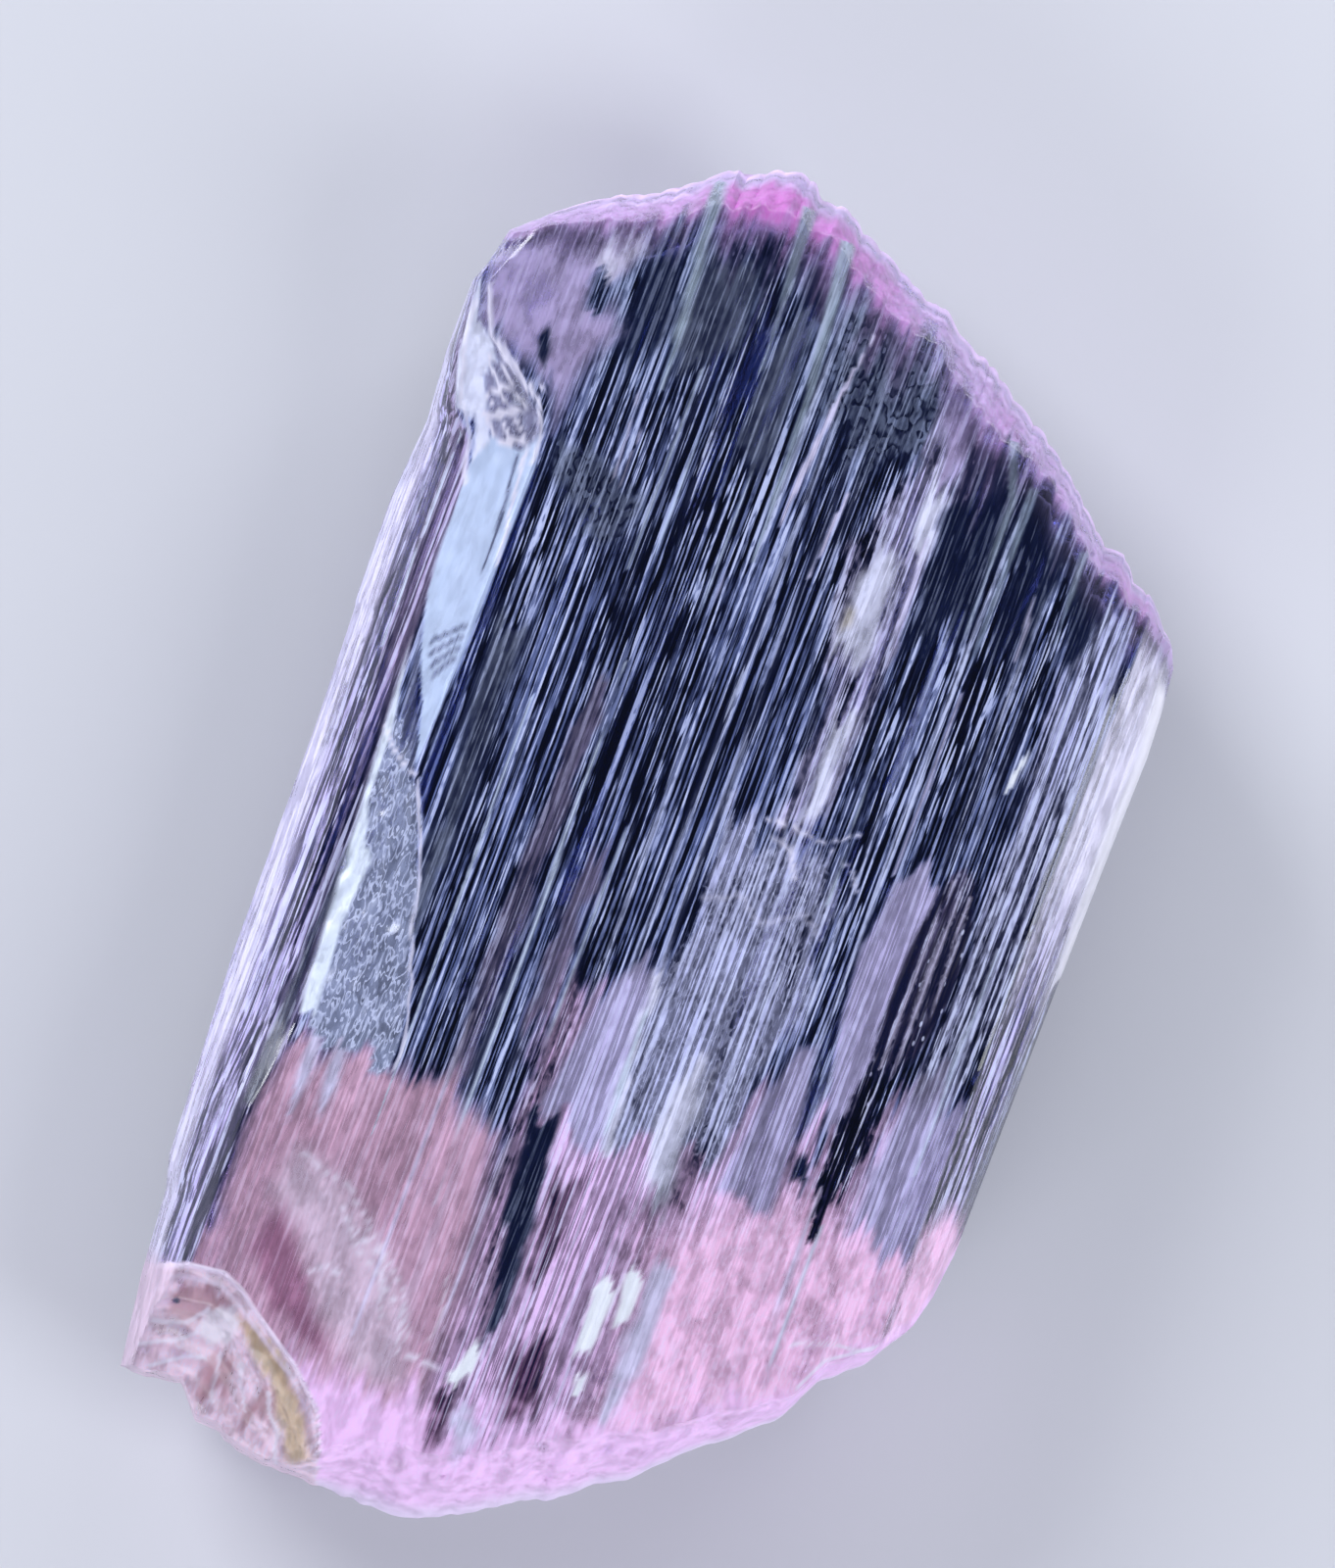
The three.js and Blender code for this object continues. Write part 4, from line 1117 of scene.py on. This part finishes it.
def makeGrowthLineTree():
    tree = bpy.data.node_groups.new("growthLines", "GeometryNodeTree")
    tree.interface.new_socket("Geometry", in_out="INPUT", socket_type="NodeSocketGeometry")
    for name in growthLines:
        tree.interface.new_socket(name, in_out="INPUT", socket_type="NodeSocketFloat")
    tree.interface.new_socket("Material", in_out="INPUT", socket_type="NodeSocketMaterial")
    tree.interface.new_socket("Geometry", in_out="OUTPUT", socket_type="NodeSocketGeometry")
    nodes, links, mathOf = tree.nodes, tree.links, partial(mathNode, tree)
    given = nodes.new("NodeGroupInput").outputs

    def attribute(name):
        node = nodes.new("GeometryNodeInputNamedAttribute")
        node.data_type = "FLOAT"
        node.inputs["Name"].default_value = name
        return node.outputs["Attribute"]

    def noise(vector, seedShift, detail):
        node = nodes.new("ShaderNodeTexNoise")
        node.noise_dimensions = "4D"
        node.inputs["Scale"].default_value = 1.0
        node.inputs["Detail"].default_value = detail
        links.new(vector, node.inputs["Vector"])
        links.new(mathOf("ADD", given["Seed"], seedShift), node.inputs["W"])
        return node.outputs[0]

    def vectorOf(operation, a, b):
        node = nodes.new("ShaderNodeVectorMath")
        node.operation = operation
        links.new(a, node.inputs[0])
        links.new(b, node.inputs["Scale"] if operation == "SCALE" else node.inputs[1])
        return node.outputs[0]

    position = nodes.new("GeometryNodeInputPosition").outputs[0]
    normal = nodes.new("GeometryNodeInputNormal").outputs[0]
    place = nodes.new("ShaderNodeSeparateXYZ")
    links.new(position, place.inputs[0])
    facing = nodes.new("ShaderNodeSeparateXYZ")
    links.new(normal, facing.inputs[0])
    isBack = mathOf("LESS_THAN", facing.outputs["Z"], 0.0)

    # terraces that run along the crystal
    stretched = nodes.new("ShaderNodeCombineXYZ")
    links.new(mathOf("DIVIDE", place.outputs["X"], given["Step Spacing"]), stretched.inputs["X"])
    links.new(mathOf("DIVIDE", place.outputs["Y"], given["Step Length"]), stretched.inputs["Y"])
    links.new(mathOf("MULTIPLY", isBack, backShift), stretched.inputs["Z"])
    level = noise(stretched.outputs[0], 0.0, terraceDetail)
    level = mathOf("MULTIPLY", level, given["Steps"])
    rise = nodes.new("ShaderNodeMapRange")
    rise.interpolation_type = "SMOOTHSTEP"
    links.new(mathOf("FRACT", level), rise.inputs["Value"])
    links.new(given["Step Softness"], rise.inputs["From Max"])
    terrace = mathOf("ADD", mathOf("FLOOR", level), rise.outputs[0])
    gain = mathOf("ADD", 1.0, mathOf("MULTIPLY", isBack, mathOf("SUBTRACT", given["Back Gain"], 1.0)))
    height = mathOf("MULTIPLY", mathOf("MULTIPLY", terrace, given["Step Height"]), gain)
    height = mathOf("SUBTRACT", height, mathOf("MULTIPLY", isBack, given["Back Drop"]))
    height = mathOf("MULTIPLY", mathOf("MULTIPLY", height, attribute("terrace")), attribute("inner"))
    height = mathOf("MAXIMUM", height, mathOf("MULTIPLY", place.outputs["Z"], -1.0))
    lift = nodes.new("ShaderNodeCombineXYZ")
    links.new(height, lift.inputs["Z"])

    # etched pits and knobs, outwards and inwards
    sizes = nodes.new("ShaderNodeCombineXYZ")
    for socket, factor in zip(sizes.inputs, (1.0, etchStretch, 1.0)):
        links.new(mathOf("MULTIPLY", given["Etch Size"], factor), socket)
    etching = noise(vectorOf("DIVIDE", position, sizes.outputs[0]), etchShift, etchDetail)
    pits = mathOf("SUBTRACT", etching, 0.5)
    pits = mathOf("MULTIPLY", mathOf("MULTIPLY", pits, 2.0), given["Etch Depth"])
    pits = mathOf("MULTIPLY", mathOf("MULTIPLY", pits, attribute("etch")), attribute("inner"))
    push = vectorOf("SCALE", normal, pits)

    move = nodes.new("GeometryNodeSetPosition")
    links.new(given["Geometry"], move.inputs["Geometry"])
    links.new(vectorOf("ADD", lift.outputs[0], push), move.inputs["Offset"])
    realize = nodes.new("GeometryNodeRealizeInstances")
    links.new(move.outputs[0], realize.inputs[0])
    finish = nodes.new("GeometryNodeSetMaterial")
    links.new(realize.outputs[0], finish.inputs["Geometry"])
    links.new(given["Material"], finish.inputs["Material"])
    links.new(finish.outputs[0], nodes.new("NodeGroupOutput").inputs[0])
    return tree


# The look of kunzite: clear lilac depth under veils and growth lines, with painted dark shade in the
# front's clear depth.
kunziteLook = {
    "ior": 1.66,
    "absorptionColour": (0.72, 0.67, 0.95, 1),
    "absorptionDensity": 70,      # per metre
    "clearTint": (0.79, 0.71, 0.93, 1),   # of the back and the ends
    "shadeTint": (0.016, 0.050, 0.34, 1),  # painted shade: dark navy in the front's clear depth, where the crystal itself is pale lilac
    "clearUpTo": 0.22,            # the veil that hides the tints
    "veilOpacity": 0.92,          # of the fullest veil
    # painted reflections of the lamps, with real frost, on the bright growth lines
    "lineFrostAndSheenColour": (0.72, 0.77, 1.0, 1),
    "lineFrostAndSheenShare": 0.9,
    "clearRoughness": 0.03,
    "veilRoughness": 0.38,
    "roughFrom": 0.8,             # the veil that has the whole of it
    "brightLineFrostAndSheen": 0.86,
    "darkLines": 0.96,
    "darkWorms": 0.8,
    "wormRings": 3.5,
    "webCrumple": 0.6,
    "flakeContrast": 0.5,
    "flakeShine": 0.85,
    "broadContrast": 1.3,
    "grainContrast": 0.5,
    "bumpStrength": 0.4,
    "bumpHeight": 0.02,           # mm
}

# Noises: size in mm across and along the crystal and in Z, detail, roughness and shift.
kunziteNoises = {
    "long": ((0.20, 60.0, 0.5), 0.5, 0.5, 0.0),
    "line": ((0.13, 12.0, 0.325), 0.5, 0.5, 3.0),
    "dash": ((0.11, 3.0, 0.275), 0.0, 0.5, 9.0),
    "broad": ((1.7, 17.0, 1.7), 1.0, 0.65, 4.0),
    "grain": ((0.16, 0.8, 0.48), 1.0, 0.6, 12.0),
    "cloud": ((0.8, 1.6, 0.8), 2.0, 0.65, 2.0),
    "worm": ((0.5, 0.9, 0.5), 1.0, 0.5, 6.0),
}
scaleSize = (0.34, 0.75, 0.34)  # mm, of the scales on fractures

# Noise levels at which a pattern is absent and full, then its least and full strength if not 0 and 1.
kunziteLevels = {
    "longLines": (0.61, 0.67),
    "longBreaks": (0.36, 0.50, 0.4, 1.0),
    "fineLines": (0.60, 0.67),
    "fineGroups": (0.35, 0.62, 0.25, 0.8),
    "dashes": (0.62, 0.69),
    "dashGroups": (0.62, 0.40, 0.25, 0.9),
    "brightGrain": (0.30, 0.50, 0.4, 1.0),
    "lineGaps": (0.48, 0.42),
    "longGaps": (0.47, 0.40),
    "dashGaps": (0.43, 0.37, 0.0, 0.9),
    "mottle": (0.35, 0.65),
    "broad": (0.3, 0.7),
    "grain": (0.35, 0.65),
    "worms": (0.35, 0.85),
    "web": (0.50, 0.95),
    "webVeil": (0.2, 0.45, 0.0, 0.8),
    "dots": (0.24, 0.12),
    "dotShades": (0.55, 0.65),
    "dotVeil": (0.45, 0.2),
}


def makeKunzite():
    material = bpy.data.materials.new("kunzite")
    material.use_nodes = True
    tree = material.node_tree
    nodes, links, mathOf = tree.nodes, tree.links, partial(mathNode, tree)
    shader = nodes["Principled BSDF"]
    look, levels = kunziteLook, kunziteLevels

    def attribute(name, output="Fac"):
        node = nodes.new("ShaderNodeAttribute")
        node.attribute_name = name
        return node.outputs[output]

    def product(first, *others):
        for other in others:
            first = mathOf("MULTIPLY", first, other)
        return first

    def strongest(first, *others):
        for other in others:
            first = mathOf("MAXIMUM", first, other)
        return first

    def clampOf(value):
        node = nodes.new("ShaderNodeClamp")
        links.new(value, node.inputs[0])
        return node.outputs[0]

    def mixColour(share, a, b):
        node = nodes.new("ShaderNodeMix")
        node.data_type = "RGBA"
        links.new(share, node.inputs[0])
        for socket, value in zip((node.inputs[6], node.inputs[7]), (a, b)):
            if isinstance(value, bpy.types.NodeSocket):
                links.new(value, socket)
            else:
                socket.default_value = value
        return node.outputs[2]

    def rampOf(value, low, high, toLow=0.0, toHigh=1.0):
        node = nodes.new("ShaderNodeMapRange")
        node.interpolation_type = "SMOOTHSTEP"
        links.new(value, node.inputs["Value"])
        ends = {"From Min": low, "From Max": high, "To Min": toLow, "To Max": toHigh}
        for end, number in ends.items():
            node.inputs[end].default_value = number
        return node.outputs[0]

    coordinates = nodes.new("ShaderNodeTexCoord").outputs["Object"]

    # coordinates in which lumps of the given sizes in mm are 1 long
    def stretched(sizes, shift=0.0):
        mapping = nodes.new("ShaderNodeMapping")
        links.new(coordinates, mapping.inputs["Vector"])
        mapping.inputs["Scale"].default_value = [1 / (size * mm) for size in sizes]
        mapping.inputs["Location"].default_value = (shift, shift * 1.7, shift * 0.6)
        return mapping.outputs[0]

    def noise(sizes, detail, roughness, shift):
        node = nodes.new("ShaderNodeTexNoise")
        node.inputs["Scale"].default_value = 1.0
        node.inputs["Detail"].default_value = detail
        node.inputs["Roughness"].default_value = roughness
        links.new(stretched(sizes, shift), node.inputs["Vector"])
        return node.outputs[0]

    # a noise's strength between its named levels, and that less a half
    def levelOf(value, name):
        return rampOf(value, *levels[name])

    def contrastOf(value, name):
        return mathOf("SUBTRACT", levelOf(value, name), 0.5)

    def sawtooth(value, rings):
        return mathOf("FRACT", mathOf("MULTIPLY", value, rings))

    # scales of fractured crystal: the shade of each, and a dot in its middle
    def scalePattern():
        cell = nodes.new("ShaderNodeTexVoronoi")
        cell.inputs["Scale"].default_value = 1.0
        links.new(stretched(scaleSize), cell.inputs["Vector"])
        shade = nodes.new("ShaderNodeSeparateColor")
        links.new(cell.outputs["Color"], shade.inputs[0])
        return shade.outputs[0], levelOf(cell.outputs["Distance"], "dots")

    noises = {name: noise(*values) for name, values in kunziteNoises.items()}
    scaleShade, scaleDots = scalePattern()
    givenVeil, lines, flakes = attribute("veil"), attribute("lines"), attribute("flakes")

    # bright growth lines, partly real frost and partly painted reflections of the lamps, in groups
    # and with breaks, and the dark gaps between them
    longLines = product(levelOf(noises["long"], "longLines"), levelOf(noises["dash"], "longBreaks"))
    fineLines = product(levelOf(noises["line"], "fineLines"), levelOf(noises["broad"], "fineGroups"))
    dashes = product(levelOf(noises["dash"], "dashes"), levelOf(noises["broad"], "dashGroups"))
    bright = clampOf(strongest(longLines, fineLines, dashes))
    bright = product(bright, levelOf(noises["grain"], "brightGrain"), lines)
    dark = strongest(levelOf(noises["line"], "lineGaps"), levelOf(noises["long"], "longGaps"),
                     levelOf(noises["dash"], "dashGaps"))
    dark = product(dark, lines)

    # the veil, made uneven by cloudy patches, broad bands, grain, scales and etched worms
    mottle = product(contrastOf(noises["cloud"], "mottle"), attribute("mottle"))
    broad = product(contrastOf(noises["broad"], "broad"), lines, look["broadContrast"])
    grain = product(contrastOf(noises["grain"], "grain"), look["grainContrast"], lines)
    scale = product(mathOf("SUBTRACT", scaleShade, 0.5), flakes, look["flakeContrast"])
    uneven = mathOf("ADD", mathOf("ADD", mottle, broad), mathOf("ADD", scale, grain))
    worms = levelOf(sawtooth(noises["worm"], look["wormRings"]), "worms")
    worms = product(worms, attribute("etch"))
    veil = product(givenVeil, mathOf("ADD", 1.0, uneven))
    for shade, amount in ((dark, look["darkLines"]), (worms, look["darkWorms"])):
        veil = product(veil, mathOf("SUBTRACT", 1.0, product(shade, amount)))

    # glittering flakes: a web on clouded crystal and dots on clear
    crumpled = mathOf("ADD", noises["worm"], product(noises["grain"], look["webCrumple"]))
    web = levelOf(sawtooth(crumpled, look["wormRings"]), "web")
    web = product(web, levelOf(givenVeil, "webVeil"))
    dots = product(scaleDots, levelOf(scaleShade, "dotShades"), levelOf(givenVeil, "dotVeil"))
    shine = product(strongest(web, dots), flakes, look["flakeShine"])
    brightShare = clampOf(mathOf("ADD", product(bright, look["brightLineFrostAndSheen"]), shine))
    veil = clampOf(mathOf("ADD", veil, product(brightShare, mathOf("SUBTRACT", 1.0, veil))))

    lit = product(brightShare, look["lineFrostAndSheenShare"])
    colour = mixColour(lit, attribute("tone", "Color"), look["lineFrostAndSheenColour"])
    # painted shade: the front's clear depth is tinted dark navy
    clear = mixColour(attribute("depth"), look["clearTint"], look["shadeTint"])
    colour = mixColour(rampOf(veil, 0.0, look["clearUpTo"]), clear, colour)
    rough = rampOf(veil, 0.0, look["roughFrom"], look["clearRoughness"], look["veilRoughness"])
    links.new(colour, shader.inputs["Base Color"])
    through = mathOf("SUBTRACT", 1.0, product(veil, look["veilOpacity"]))
    links.new(through, shader.inputs["Transmission Weight"])
    links.new(rough, shader.inputs["Roughness"])
    shader.inputs["IOR"].default_value = look["ior"]

    bump = nodes.new("ShaderNodeBump")
    bump.inputs["Strength"].default_value = look["bumpStrength"]
    bump.inputs["Distance"].default_value = look["bumpHeight"] * mm
    links.new(product(noises["long"], lines), bump.inputs["Height"])
    links.new(bump.outputs[0], shader.inputs["Normal"])

    volume = nodes.new("ShaderNodeVolumeAbsorption")
    volume.inputs["Color"].default_value = look["absorptionColour"]
    volume.inputs["Density"].default_value = look["absorptionDensity"]
    links.new(volume.outputs[0], nodes["Material Output"].inputs["Volume"])
    return material


sharpFrom = 50  # degrees between two facets that keep their edge


def makeCrystal():
    piece = bpy.data.objects.new("kunziteCrystal", makeCrystalMesh())
    scene.collection.objects.link(piece)
    tree = makeGrowthLineTree()
    modifier = piece.modifiers.new("growthLines", "NODES")
    modifier.node_group = tree
    values = dict(growthLines, Material=makeKunzite())
    for item in tree.interface.items_tree:
        if item.in_out == "INPUT" and item.name in values:
            modifier[item.identifier] = values[item.name]
    graph = bpy.context.evaluated_depsgraph_get()
    mesh = bpy.data.meshes.new_from_object(piece.evaluated_get(graph), preserve_all_data_layers=True,
                                           depsgraph=graph)
    piece.modifiers.clear()
    piece.data = mesh
    mesh.shade_smooth()
    mesh.set_sharp_from_angle(angle=math.radians(sharpFrom))
    print("growth lines applied")
    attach(piece, "root")
    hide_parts("kunzite_crystal")


makeCrystal()
